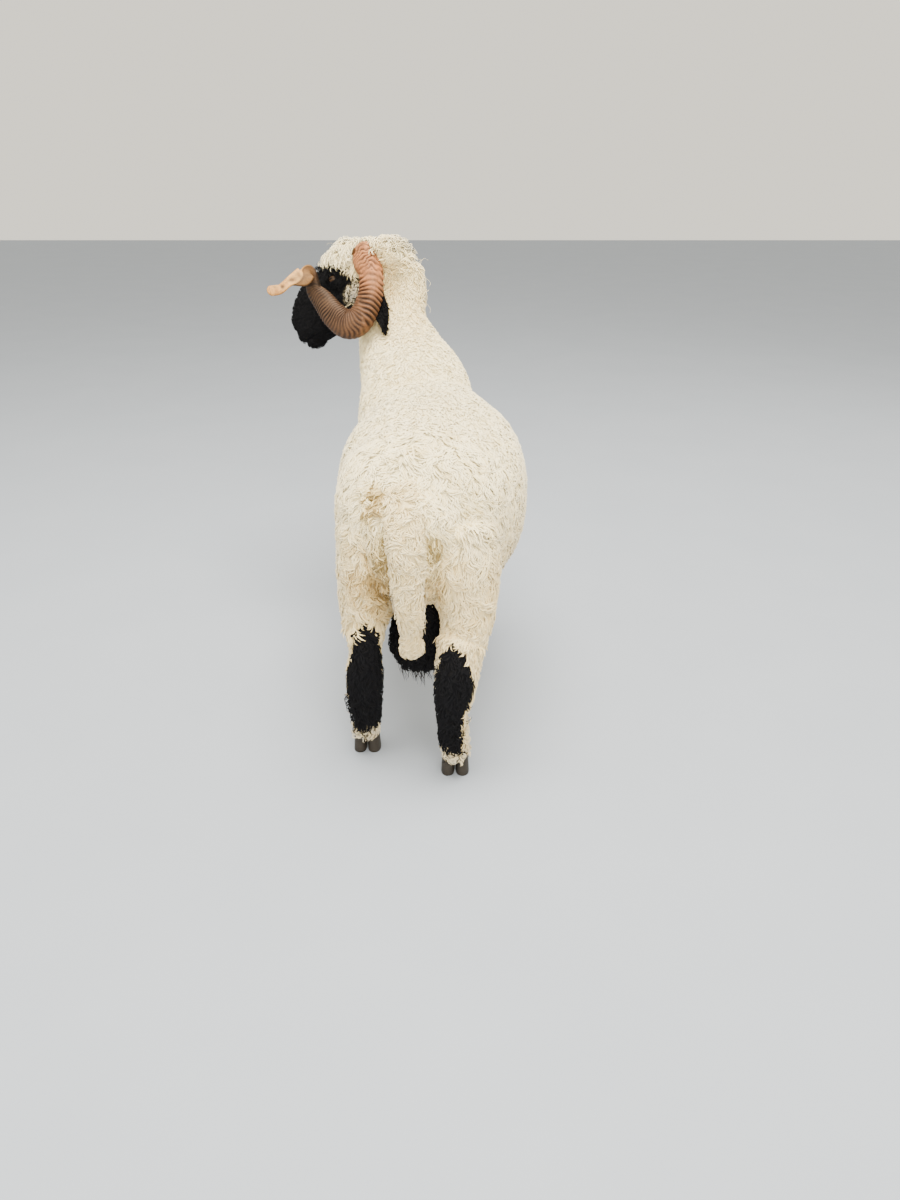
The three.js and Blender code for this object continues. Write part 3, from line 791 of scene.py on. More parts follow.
def wool_material(name, sheen, gloss, glow=0.0, roots=False):
    """Cream, warm, grey or black wool by the attributes of the skin or the tuft."""
    mat, nodes, links, bsdf = new_material(name, 0.85, gloss)
    colour = mixed(nodes, links, CREAM, WARM, attribute(nodes, "warm"))
    colour = mixed(nodes, links, colour, GREY, attribute(nodes, "grey"))
    colour = mixed(nodes, links, colour, BLACK, attribute(nodes, "dark"))
    colour = times(nodes, links, colour, attribute(nodes, "tone"), WOOL_TONES)
    links.new(colour, bsdf.inputs["Base Color"])
    bsdf.inputs["Sheen Weight"].default_value = sheen
    bsdf.inputs["Sheen Roughness"].default_value = 0.5
    bsdf.inputs["Subsurface Weight"].default_value = glow
    bsdf.inputs["Subsurface Radius"].default_value = (0.012, 0.009, 0.006)
    bsdf.inputs["Subsurface Scale"].default_value = 1.0
    if roots:
        bumped(nodes, links, bsdf, noise(nodes, links, 420, 4, 0.7)["Fac"], 0.0025)
    return mat


# The horn's colour from root to tip, and over its patches, grooves and fine grain; the grooves' ramp
# is painted shade down the troughs between ridges and a painted highlight on their crests
HORN_TAN = [
    (0.0, (0.28, 0.125, 0.056)), (0.2, (0.25, 0.108, 0.048)), (0.3, (0.088, 0.042, 0.020)),
    (0.44, (0.062, 0.033, 0.018)), (0.56, (0.048, 0.028, 0.016)), (0.68, (0.054, 0.031, 0.016)),
    (0.74, (0.17, 0.09, 0.035)), (0.79, (0.34, 0.195, 0.072)), (1.0, (0.38, 0.22, 0.08)),
]
HORN_PATCHES = [(0.32, (0.62, 0.55, 0.5)), (0.5, WHITE), (0.72, (1.18, 1.1, 1.02))]
HORN_GROOVES = [
    (0.0, (1.6, 1.5, 1.4)), (0.3, WHITE), (0.6, (0.5, 0.44, 0.4)), (0.95, (0.2, 0.17, 0.15)),
]
HORN_GRAIN = [(0.35, (0.74, 0.7, 0.66)), (0.6, WHITE)]
HORN_BLOT = (0.05, 0.024, 0.012)


def horn_material():
    mat, nodes, links, bsdf = new_material("horn_keratin", 0.6, 0.2)
    colour = ramped(nodes, links, attribute(nodes, "place"), HORN_TAN)
    colour = times(nodes, links, colour, noise(nodes, links, 22, 3)["Fac"], HORN_PATCHES)
    # Painted shade down the troughs between ridges, and a painted highlight where there is no
    # groove, on the crests and over the smooth tip
    colour = times(nodes, links, colour, attribute(nodes, "groove"), HORN_GROOVES)
    blot = noise(nodes, links, 42, 2, 0.5)["Fac"]
    blot = ramped(nodes, links, blot, [(0.66, (0.0, 0.0, 0.0)), (0.72, WHITE)])
    colour = mixed(nodes, links, colour, HORN_BLOT, blot)
    grain = noise(nodes, links, 230, 4, 0.65)["Fac"]
    colour = times(nodes, links, colour, grain, HORN_GRAIN)
    links.new(colour, bsdf.inputs["Base Color"])
    bumped(nodes, links, bsdf, grain, 0.0012, 0.7)
    return mat


def hoof_material():
    mat, nodes, links, bsdf = new_material("hoof_keratin", 0.55, 0.3)
    cloudy = noise(nodes, links, 60, 3)["Fac"]
    colour = mixed(nodes, links, (0.012, 0.010, 0.008), (0.038, 0.030, 0.022), cloudy)
    links.new(colour, bsdf.inputs["Base Color"])
    wave = nodes.new("ShaderNodeTexWave")
    wave.bands_direction = "Z"
    wave.inputs["Scale"].default_value = 60
    wave.inputs["Distortion"].default_value = 2.5
    co = nodes.new("ShaderNodeTexCoord")
    links.new(co.outputs["Object"], wave.inputs["Vector"])
    bumped(nodes, links, bsdf, wave.outputs["Fac"], 0.0006, 0.6)
    return mat


# The eye's colour from its white, here dark, over the iris to the pupil
EYE_BROWN = [
    (0.0, (0.012, 0.009, 0.007)), (0.5, (0.02, 0.011, 0.006)), (0.55, (0.03, 0.015, 0.007)),
    (0.8, (0.05, 0.025, 0.010)), (0.93, (0.004, 0.004, 0.005)), (1.0, (0.002, 0.002, 0.003)),
]


def eye_material():
    mat, nodes, links, bsdf = new_material("eye_amber", 0.2, 0.14)
    colour = ramped(nodes, links, attribute(nodes, "iris"), EYE_BROWN)
    colour = mixed(nodes, links, colour, noise(nodes, links, 900, 2)["Color"], 0.008)
    links.new(colour, bsdf.inputs["Base Color"])
    return mat


SKIN_WOOL = wool_material("skin_wool", 0.0, 0.1, roots=True)
PALE_WOOL = wool_material("pale_wool", 0.35, 0.25, glow=0.15)
DARK_WOOL = wool_material("dark_wool", 0.0, 0.13)
HORN = horn_material()
HOOF = hoof_material()
EYE = eye_material()


def set_attribute(mesh, name, values):
    a = mesh.attributes.new(name, "FLOAT", "POINT")
    a.data.foreach_set("value", np.asarray(values, np.float32))


# The skin's tone drops under the real rump stain and, as painted shade, in the creases beside the
# tail
dark, warm, grey, soil_and_shade = markings(surface.points, surface.normals, surface.region)
for key, values in (("dark", dark), ("warm", warm), ("grey", grey), ("tone", 0.72 - 0.6 * soil_and_shade)):
    set_attribute(skin.data, key, values)
skin.data.materials.clear()
skin.data.materials.append(SKIN_WOOL)


# Coat

ATLAS_SCALE = 2300.0
ATLAS_EDGE = 0.004
ATLAS_GAP = 0.006


def atlas():
    """Each loft's rectangle on the coat's unwrap: left, bottom, width and height."""
    sizes = []
    for loft in LOFTS:
        a = np.linspace(0, 2 * math.pi, 60)
        t = np.linspace(0, loft.last, 9)
        girth = max(
            np.linalg.norm(np.diff(loft.place(np.full(60, q), a), axis=0), axis=1).sum() for q in t
        )
        mid = catmull(loft.rows, np.linspace(0, loft.last, 40))[:, :3]
        run = np.linalg.norm(np.diff(mid, axis=0), axis=1).sum()
        sizes.append((loft.name, girth / ATLAS_SCALE, run / ATLAS_SCALE * 1.15))
    cells, x, y, row = {}, ATLAS_EDGE, ATLAS_EDGE, 0.0
    for name, w, h in sorted(sizes, key=lambda q: -q[2]):
        if x + w > 1 - ATLAS_EDGE:
            x, y, row = ATLAS_EDGE, y + row + ATLAS_GAP, 0.0
        cells[name] = (x, y, w, h)
        x += w + ATLAS_GAP
        row = max(row, h)
    return np.array([cells[loft.name] for loft in LOFTS])


CELLS = atlas()
LASTS = np.array([loft.last for loft in LOFTS])
TUFT_PATCH = (0.0024, 0.003)


def root_uv(got):
    cell = CELLS[got["region"]]
    u = cell[:, 0] + (got["a"] / (2 * math.pi) % 1) * cell[:, 2]
    v = cell[:, 1] + np.clip(got["t"] / LASTS[got["region"]], 0, 1) * cell[:, 3]
    return np.stack([u, v], 1)


def tangent(way, n):
    """Each way laid flat on the surface whose normal is n."""
    return unit(way - n * (way * n).sum(1, keepdims=True))


class Clumps:
    """Clumps of roots: the number of each root's own, where they stand and how many there are."""

    def __init__(self, p, size, rng):
        first = first_in_cells(p, size)
        first = first[rng.permutation(len(first))]
        kd = kd_tree(p[first])
        self.own = np.array([kd.find(Vector(q))[1] for q in p])
        self.centres = p[first]
        self.count = len(first)


def turned(d, side, angle):
    """A pair of directions at right angles, turned in their plane."""
    c, s = np.cos(angle)[:, None], np.sin(angle)[:, None]
    return d * c + side * s, side * c - d * s


def lock_path(s, turn, wave, clumps, count, rng):
    """A lock's bend as steps ahead and aside, at each s from root to tip, and its wave."""
    own = clumps.own
    bend = turn * (rng.uniform(-1, 1, clumps.count)[own] * 1.3 + rng.uniform(-1, 1, count) * 0.35)
    amp = wave[0] * (0.6 + 0.8 * rng.random(clumps.count)[own])
    phase = rng.random(clumps.count)[own] * 2 * math.pi + rng.normal(size=count) * 0.5
    head = bend[:, None] * s
    heading = np.stack([np.cos(head), np.sin(head)], -1)
    steps = np.cumsum((heading[:, 1:] + heading[:, :-1]) / 2, 1) / (len(s) - 1)
    along = np.concatenate([np.zeros((count, 1, 2)), steps], 1)
    start = np.sin(phase)[:, None]
    wig = amp[:, None] * (np.sin(2 * math.pi * wave[1] * s + phase[:, None]) - start)
    return along, wig * np.sqrt(s)


def prisms(line, n, width, s, soft):
    """Points and shading directions of tapered, three-sided locks along lines of points."""
    count = len(line)
    ahead = unit(np.gradient(line, axis=1))
    across = unit(np.cross(ahead, n[:, None]))
    over = np.cross(across, ahead)
    taper = (1 - 0.55 * s**1.6) * (0.8 + 0.2 * np.sin(math.pi * s))
    half = (width[:, None] * taper / 2)[..., None]
    rings = np.stack([line - across * half, line + across * half, line + over * half * 0.75], 2)
    ways = np.stack([-across * 0.9 - over * 0.3, across * 0.9 - over * 0.3, over], 2)
    points = np.concatenate([rings[:, :-1].reshape(count, -1, 3), line[:, -1:]], 1)
    ways = np.concatenate([ways[:, :-1].reshape(count, -1, 3), over[:, -1:]], 1)
    return points, unit(ways * (1 - soft) + n[:, None] * soft)


def prism_faces(spans):
    """Triangles of one lock: its root, its sides and the point at its tip."""
    edges = ((0, 1), (1, 2), (2, 0))
    faces = [(0, 1, 2)]
    for b in range(0, 3 * (spans - 1), 3):
        for i, j in edges:
            faces += [(b + j, b + i, b + 3 + i), (b + j, b + 3 + i, b + 3 + j)]
    b = 3 * (spans - 1)
    faces += [(b + j, b + i, b + 3) for i, j in edges]
    return np.array(faces)


def lock_colours(p, n, region, tone, clumps, own, per, rng):
    """Each lock's dark, warm and grey, and the tone of each of its points."""
    count = len(p)
    dark, warm, grey, soil_and_shade = markings(p, n, region)
    dark = np.where(rng.random(count) < dark, 1.0, 0.0)
    dark = np.maximum(dark, (grey > 0.3) * (rng.random(count) < 0.14) * 0.75)
    grey = grey * rng.uniform(0.25, 1.15, count).clip(0, 1)
    middle, spread = tone
    shade = middle + spread * rng.normal(size=count)
    shade = shade + 0.5 * spread * rng.normal(size=clumps.count)[own]
    shade = shade[:, None] * np.ones(per)
    # Each lock's root ring is painted darker, as shade down among the locks
    shade[:, :3] -= 0.2
    shade = np.maximum(shade, 0.3)
    # Locks painted darker: painted shade where warmth passes 0.75 on the left thigh, painted shade
    # with some soiling in the creases beside the tail, and the real rump stain
    shade -= ((1.6 * np.clip(warm - 0.75, 0, 0.25) + 0.75 * soil_and_shade) * (dark < 0.5))[:, None]
    return {"dark": dark, "warm": warm, "grey": grey}, np.clip(shade, 0, 1)


def coat_mesh(name, points, ways, uv, faces, colours, shade):
    """A mesh of locks that all have the same faces, with its colours and its unwrap."""
    count, per = points.shape[:2]
    total = count * len(faces)
    index = (np.arange(count)[:, None, None] * per + faces[None]).reshape(-1)
    mesh = bpy.data.meshes.new(name)
    mesh.vertices.add(count * per)
    mesh.loops.add(total * 3)
    mesh.polygons.add(total)
    co = metres(points.reshape(-1, 3))
    mesh.vertices.foreach_set("co", co.astype(np.float32).ravel())
    mesh.loops.foreach_set("vertex_index", index.astype(np.int32))
    mesh.polygons.foreach_set("loop_start", np.arange(0, total * 3, 3, dtype=np.int32))
    mesh.update(calc_edges=True)
    mesh.polygons.foreach_set("use_smooth", np.ones(total, bool))
    mesh.materials.append(PALE_WOOL)
    mesh.materials.append(DARK_WOOL)
    black = np.repeat(colours["dark"] > 0.5, len(faces))
    mesh.polygons.foreach_set("material_index", black.astype(np.int32))
    mesh.normals_split_custom_set_from_vertices(ways.reshape(-1, 3).tolist())
    layer = mesh.uv_layers.new(name="OFBake")
    layer.data.foreach_set("uv", uv.reshape(-1, 2)[index].astype(np.float32).ravel())
    for key, value in colours.items():
        set_attribute(mesh, key, np.repeat(value, per))
    set_attribute(mesh, "tone", shade.ravel())
    return mesh


MOST_TRIANGLES = 190000


def coat(name, got, lie, length, width, rise, spans=4, turn=0.0, wave=(0.0, 1.5), sink=3.0,
         lift=0.0, droop=0.0, tone=(0.7, 0.16), clump=24, gather=0.35, wander=0.33, clear=None,
         soft=0.42, seed=1):
    """A piece of coat: tapered locks, each a closed three-sided prism that bends and waves.

    Locks of one clump share their bend and wave, and their tips draw together. Where clear is
    given, a lock that isn't clear of the horns and ears is cut short, or else left out.
    """
    rng = np.random.default_rng(seed)
    p, n = got["p"], got["n"]
    count = len(p)
    clumps = Clumps(p, clump, rng)
    own = clumps.own
    length = np.asarray(length) * (0.75 + 0.5 * rng.random(count))
    width = np.asarray(width) * (0.75 + 0.5 * rng.random(count))
    rise = np.asarray(rise) * (0.6 + 0.5 * rng.random(count) + 0.3 * rng.random(clumps.count)[own])
    d = tangent(lie, n)
    swing = rng.normal(size=clumps.count)[own] * wander + rng.normal(size=count) * 0.14
    d, side = turned(d, np.cross(n, d), swing)
    s = np.linspace(0, 1, spans + 1)
    along, wig = lock_path(s, turn, wave, clumps, count, rng)
    away = clumps.centres[own] - p
    away -= n * (away * n).sum(1, keepdims=True)

    def run(length, rise):
        up = rise[:, None] * (np.sin(math.pi * np.clip(s * 0.86, 0, 1)) + lift * s)
        line = (
            p[:, None]
            + d[:, None] * (along[..., 0] * length[:, None])[..., None]
            + side[:, None] * (along[..., 1] * length[:, None] + wig)[..., None]
            + n[:, None] * (up - sink * (1 - s))[..., None]
        )
        line[..., 2] -= droop * np.broadcast_to(length[:, None] * s**2, line.shape[:2])
        return line + away[:, None] * (gather * s**1.4)[None, :, None]

    line = run(length, rise)
    if clear is not None:
        short = ~clear(line)
        line = run(length * np.where(short, 0.4, 1.0), rise * np.where(short, 0.45, 1.0))
        keep = clear(line)
        line, p, n, own, width = line[keep], p[keep], n[keep], own[keep], width[keep]
        got = {k: v[keep] for k, v in got.items()}
    points, ways = prisms(line, n, width, s, soft)
    faces = prism_faces(spans)
    across = np.append(np.tile([-0.5, 0.5, 0.0], spans), 0.0)
    local = np.stack([across, np.append(np.repeat(s[:-1], 3), 1.0) - 0.5], 1)
    uv = root_uv(got)[:, None] + local[None] * TUFT_PATCH
    colours, shade = lock_colours(p, n, got["region"], tone, clumps, own, points.shape[1], rng)
    pieces = math.ceil(len(p) * len(faces) / MOST_TRIANGLES)
    order = np.argsort(p[:, 1], kind="stable")
    for k, part in enumerate(np.array_split(order, pieces)):
        piece = name if pieces == 1 else f"{name}_{k + 1}"
        tints = {key: value[part] for key, value in colours.items()}
        mesh = coat_mesh(name, points[part], ways[part], uv[part], faces, tints, shade[part])
        obj = bpy.data.objects.new(piece, mesh)
        bpy.context.scene.collection.objects.link(obj)
        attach(obj, "root")


def horn_line(side, u):
    rows = np.array(HORN_ROWS, float)
    rows[:, 0] *= side
    return catmull(rows, u)


def clear_of_horns_and_ears():
    """A test of whether locks, as lines of points, keep out of the horns and off the ears."""
    points, reach = [], []
    u = np.linspace(0, 12, 260)
    for side in SIDES:
        at = horn_line(side, u)
        points.append(from_head(at[:, :3]))
        reach.append((at[:, 3] + at[:, 4]) / 2)
        loft = EARS[side]
        for k in np.linspace(-0.85, 0.85, 7):
            t = np.linspace(1.2, loft.last, 60)
            row = catmull(loft.rows, t)
            wide = loft.axes(t)[1]
            points.append(from_head(row[:, :3] + wide * (row[:, 3] * k)[:, None]))
            reach.append(np.full(60, 7.0))
    points, reach = np.concatenate(points), np.concatenate(reach)
    kd = kd_tree(points)

    def clear(line):
        ok = np.ones(len(line), bool)
        for k in range(1, line.shape[1]):
            for i, q in enumerate(line[:, k]):
                if ok[i]:
                    ok[i] = all(far >= reach[j] for _, j, far in kd.find_n(Vector(q), 3))
        return ok

    return clear


# Which way the locks lie, in each part of the coat


def down(got):
    return np.broadcast_to(np.array([0.0, 0.0, -1.0]), got["p"].shape)


def neck_lie(got):
    return np.broadcast_to(np.array([0.0, -0.45, -1.0]), got["p"].shape)


def body_lie(got):
    """Back along the spine, down the flanks, and down and out over the rump."""
    p = got["p"]
    over_rump = 1 - step(p[:, 1], 20, 170)
    return np.stack(
        [np.sign(p[:, 0] - 20) * 0.25, -1.0 + 0.9 * over_rump, -0.35 - 0.9 * over_rump], 1
    )


def tail_lie(got):
    """Down the tail, in waves from side to side."""
    z = got["p"][:, 2]
    return np.stack([np.sin(z / 21) * 0.9, np.zeros_like(z), np.full_like(z, -0.75)], 1)


def poll_lie(got):
    """Out from the crown: over the brow, down the cheeks and back over the nape."""
    way = to_head(got["p"]) - np.array([0, 10, 60])
    way[:, 2] = -45 - 0.2 * np.abs(way[:, 0])
    return way @ HEAD_R.T


def face_lie(got):
    """Up the face from the nose, down and out over the cheeks."""
    x = to_head(got["p"])[:, 0]
    way = np.stack([np.sign(x) * 0.25, np.full_like(x, -1.0), np.full_like(x, -0.45)], 1)
    return way @ HEAD_R.T


def tuft_lie(got):
    """Back over the cheek, and down from the brow."""
    z = to_head(got["p"])[:, 2]
    way = np.stack([np.zeros_like(z), np.full_like(z, -1.0), np.where(z > 22, -1.3, -0.35)], 1)
    return way @ HEAD_R.T


# Which roots belong to each part of the coat


def off_face_openings(got):
    """Keeps roots off the slits of the eyes, the nostrils and the lips' edges."""
    h = to_head(got["p"])
    ok = np.ones(len(h), bool)
    for side in SIDES:
        x = h[:, 0] * side
        eye = ((h[:, 1] - EYE_AT[1]) / 19) ** 2 + ((h[:, 2] - EYE_AT[2]) / 12) ** 2
        ok &= ~((eye < 1) & (x > 35))
        nose = ((x - NOSTRIL_AT[0]) / 11) ** 2 + ((h[:, 2] - NOSTRIL_AT[2]) / 13) ** 2
        ok &= ~((nose < 1) & (h[:, 1] > 270))
    ok &= ~((np.abs(h[:, 2] - mouth_line(h[:, 1])) < 3) & (h[:, 1] > 235))
    return ok & ~((h[:, 1] > 296) & (h[:, 2] < -36) & (np.abs(h[:, 0]) < 8))


def over_brow(got):
    """Roots just above the black of the face."""
    h = to_head(got["p"])
    back = np.interp(h[:, 2], FACE_EDGE_UP, FACE_EDGE_BACK)
    low = np.abs(h[:, 1] - EYE_AT[1]) > 34
    return (h[:, 2] > -20) & (h[:, 1] > back - 26) & (h[:, 1] < back - 2) & (low | (h[:, 2] > 66))


def on_side(h, y, z, long, high):
    """Whether points of the head lie in an ellipse on either side of it."""
    near = ((h[:, 1] - y) / long) ** 2 + ((h[:, 2] - z) / high) ** 2 < 1
    return near & (np.abs(h[:, 0]) > 36)


def off_eyes(got):
    """Roots whose locks don't hang over the eyes."""
    return ~on_side(to_head(got["p"]), EYE_AT[1], EYE_AT[2] + 24, 30, 34)


def round_eye(got):
    """Roots in the black behind and above each eye, whose hairs reach back over the pale wool."""
    return on_side(to_head(got["p"]), 92, 16, 46, 44) & off_face_openings(got)


def on_cheek(got):
    """Roots on the pale patch of each cheek."""
    return on_side(to_head(got["p"]), CHEEK_AT[1], CHEEK_AT[2], 30, 25)


def under_jaw(got):
    h = to_head(got["p"])
    ahead = (h[:, 1] > 0) & (h[:, 1] < 110)
    return ahead & (h[:, 2] < -70) & (h[:, 2] > -140) & (np.abs(h[:, 0]) < 72)


def outer_fetlock(got):
    """Roots on the pale, outer side of the hind shanks above the hooves."""
    p, n = got["p"], got["n"]
    out = np.where(p[:, 0] > 0, n[:, 0], -n[:, 0])
    return (p[:, 2] > 62) & (p[:, 2] < 185) & (out > 0.1)


def lowest(got):
    return got["p"][:, 2] < 262


def high_up(got):
    return (got["p"][:, 2] > 930) & (got["n"][:, 2] > -0.3)


def upper(got):
    return (got["n"][:, 2] > -0.6) & (got["p"][:, 1] > 150)


def rear(got):
    return (got["n"][:, 2] > -0.4) & (got["p"][:, 1] <= 150)


def lower(got):
    return ~upper(got) & ~rear(got)


def tail_length(got):
    """Locks are shorter on the round end of the tail."""
    return np.where(got["p"][:, 2] < 376, 12, 20)


def poll_rise(got):
    """Locks stand higher on top of the crown than on its sides."""
    return 9 + 8 * np.clip(got["n"][:, 2], 0, 1)


def grow(name, lofts, spacing, root_seed, lie, length, width, rise, keep=None, **shape):
    """A piece of coat from roots spread over the named lofts, kept where keep says."""
    got = surface.roots(lofts, spacing, root_seed, keep)
    if callable(length):
        length = length(got)
    if callable(rise):
        rise = rise(got)
    coat(f"coat_{name}", got, lie(got), length, width, rise, **shape)


HIND_SHANKS = ["hind_shank_left", "hind_shank_right"]
FORE_SHANKS = ["fore_shank_left", "fore_shank_right"]
clear = clear_of_horns_and_ears()

grow("back", ["torso"], 5.4, 21, body_lie, 16, 4.6, 4.6, keep=upper, spans=3, turn=0.7,
     wave=(1.4, 1.2), clump=18, gather=0.15, soft=0.55, seed=31)
grow("rump", ["torso"], 5.3, 22, body_lie, 29, 4.6, 6.2, keep=rear, spans=5, turn=1.1,
     wave=(3.4, 1.6), soft=0.5, seed=32)
grow("belly", ["torso"], 10, 23, body_lie, 24, 8, 7, keep=lower, spans=3, turn=0.9,
     wave=(2.5, 1.2), seed=33)
grow("neck", ["neck"], 5.1, 24, neck_lie, 16, 4.4, 5.5, spans=3, turn=1.0, wave=(1.8, 1.4),
     clump=16, gather=0.2, clear=clear, seed=34)
grow("thighs", ["thigh_left", "thigh_right"], 5.3, 25, down, 31, 4.7, 7, turn=1.2,
     wave=(3.8, 1.6), clump=26, gather=0.4, soft=0.48, seed=35)
grow("arms", ["arm_left", "arm_right"], 8, 41, down, 24, 6, 7, turn=0.9, wave=(3, 1.4), seed=45)
grow("tail", ["tail"], 4.5, 26, tail_lie, tail_length, 4.4, 5.5, turn=1.4, wave=(2.4, 1.5),
     clump=18, seed=36)
grow("poll", ["poll"], 3.7, 27, poll_lie, 31, 3.6, poll_rise, keep=off_eyes, spans=5, turn=1.3,
     wave=(3.2, 1.5), lift=0.15, clump=18, gather=0.3, clear=clear, soft=0.48, seed=37)
grow("brow", ["poll", "head"], 4.2, 42, poll_lie, 27, 1.9, 8, keep=over_brow, turn=1.0,
     wave=(2.4, 1.3), lift=0.2, clump=12, gather=0.2, wander=0.5, clear=clear, seed=46)
grow("stray", ["poll", "neck"], 38, 43, poll_lie, 34, 1.4, 16, keep=high_up, spans=6, turn=1.4,
     wave=(4, 1.2), lift=0.7, wander=1.2, clump=10, gather=0.0, clear=clear, tone=(0.9, 0.1),
     seed=47)
grow("throat", ["head", "poll", "neck"], 7.0, 44, down, 26, 3.2, 10, keep=under_jaw, spans=5,
     turn=1.8, wave=(3, 1.3), droop=0.35, clump=15, gather=0.5, clear=clear, seed=48)
grow("shanks", HIND_SHANKS + FORE_SHANKS, 6.0, 28, down, 17, 4.2, 5, spans=3, turn=1.2,
     wave=(2.0, 1.3), clump=14, gather=0.4, seed=38, tone=(0.8, 0.15))
grow("scrotum", ["scrotum"], 6.2, 29, down, 24, 4.6, 7, turn=1.3, wave=(3, 1.4), clump=16,
     gather=0.5, seed=39)
grow("cheek_tuft", ["head", "poll"], 5.5, 45, tuft_lie, 24, 2.6, 8, keep=round_eye, spans=5,
     turn=0.8, wave=(2.2, 1.3), lift=0.2, clump=14, gather=0.5, clear=clear, seed=49)
grow("cheek_patch", ["head", "poll"], 3.9, 48, tuft_lie, 19, 2.4, 6.5, keep=on_cheek, turn=1.3,
     wave=(2, 1.4), clump=12, clear=clear, seed=52)
grow("strings", ["scrotum"], 15, 46, down, 34, 2.2, 3, keep=lowest, spans=6, turn=0.5,
     wave=(3, 1.6), droop=0.9, clump=20, gather=0.5, seed=50)
grow("fetlocks", HIND_SHANKS, 7.5, 47, down, 24, 3.4, 9, keep=outer_fetlock, spans=6, turn=2.2,
     wave=(3, 1.6), lift=0.3, clump=13, gather=0.4, seed=51)
grow("face", ["head"], 4.6, 30, face_lie, 10, 2.6, 3.0, keep=off_face_openings, spans=3,
     turn=0.7, wave=(0.6, 1), sink=1.2, tone=(0.8, 0.15), clump=11, gather=0.3, clear=clear,
     seed=40)


# Horns, ears, eyes and hooves

HORN_RINGS = 900
HORN_SIDES = 48
HORN_CAP_RINGS = 9

# Dark blots on the flat tip: place along the horn, reach, place across, reach and strength
HORN_TIP_BLOTS = (
    (13.3, 0.22, 0.2, 0.4, 0.5),
    (13.9, 0.3, -0.1, 0.35, 0.75),
    (14.8, 0.16, -0.2, 0.4, 0.9),
    (11.3, 0.08, 0.1, 0.12, 0.8),
    (11.6, 0.2, -0.7, 0.3, 0.5),
    (15.4, 0.2, 0.5, 0.3, 0.4),
)


def horn_relief(u, run, a):
    """Ridges of a horn: how far each point stands out, as a share of its radius, and how dark:
    painted shade down the troughs, with marks on the flat tip.

    Braided wavy ridges at the root, broad ribs round the bend, and past a keel that winds across
    the horn, fine growth lines, which fade where the tip turns flat.
    """
    u, run, a = u[:, None], run[:, None], a[None]
    keel = np.interp(u, [4.1, 6.5], [0.0, math.pi])
    fine = np.where(a < math.pi, step(keel - a, -0.2, 0.2), step(u * np.ones_like(a), 5.4, 6.6))
    braid = 1 - step(u, 2.6, 4.0)
    band = np.exp(-((np.minimum(a, 2 * math.pi - a) / 0.75) ** 2)) * braid
    wander = 1.5 * np.sin(3 * a + 0.9) + 1.3 * np.sin(run / 31) * np.sin(2 * a + 2)
    zigzag = 3.4 * np.sin(5 * a + run / 11) + 2.0 * np.sin(9 * a - run / 14 + 1)
    rib = (run + wander + braid * zigzag) / (11.5 - 1.5 * braid) + 0.2 * np.sin(run / 37)
    line = (run + 0.8 * wander + 1.4 * np.sin(5 * a + run / 17)) / 7.8
    coarse_wave = (0.5 + 0.5 * np.cos(2 * math.pi * rib)) ** 0.8
    fine_wave = 0.5 + 0.5 * np.cos(2 * math.pi * line)
    uneven = 0.7 + 0.3 * np.sin(run / 23 + 2 * np.sin(2 * a))
    fade = 1 - step(u, 9.6, 11.6)
    stand = (coarse_wave - 0.7) * 0.13 * (1 - fine) + (fine_wave - 0.6) * 0.055 * fine
    edge = np.exp(-(((a - keel) / 0.3) ** 2)) * step(u, 4.2, 4.8) * (1 - step(u, 6.2, 6.6))
    stand = fade * (1 - 0.75 * band) * (stand * uneven + 0.05 * edge)
    dark = (1 - fine) * np.clip(1.1 - 1.25 * coarse_wave, 0, 1) * (1 - 0.2 * braid)
    dark += fine * np.clip(1.1 - 1.25 * fine_wave, 0, 1) * 0.95
    dark = dark * (1 - 0.6 * band) * (1 - 0.7 * edge)
    flat = step(u, 9.8, 11)
    rim = flat * (1 - step(u, 13.5, 14.5)) * step(np.abs(np.cos(a)), 0.9, 0.99) * 0.75
    blots = sum(
        strength * np.exp(-(((u - at) / long) ** 2 + ((np.cos(a) - high) / wide) ** 2))
        for at, long, high, wide, strength in HORN_TIP_BLOTS
    )
    across = u + np.cos(a)
    facet = step(u, 10.5, 11.0) * (1 - step(across, 12.85, 13.1))
    brink = np.exp(-(((across - 12.95) / 0.13) ** 2)) * step(u, 11.5, 12.0)
    return stand, np.clip(fade * dark * uneven + rim + blots + 0.62 * facet + 0.3 * brink, 0, 0.95)


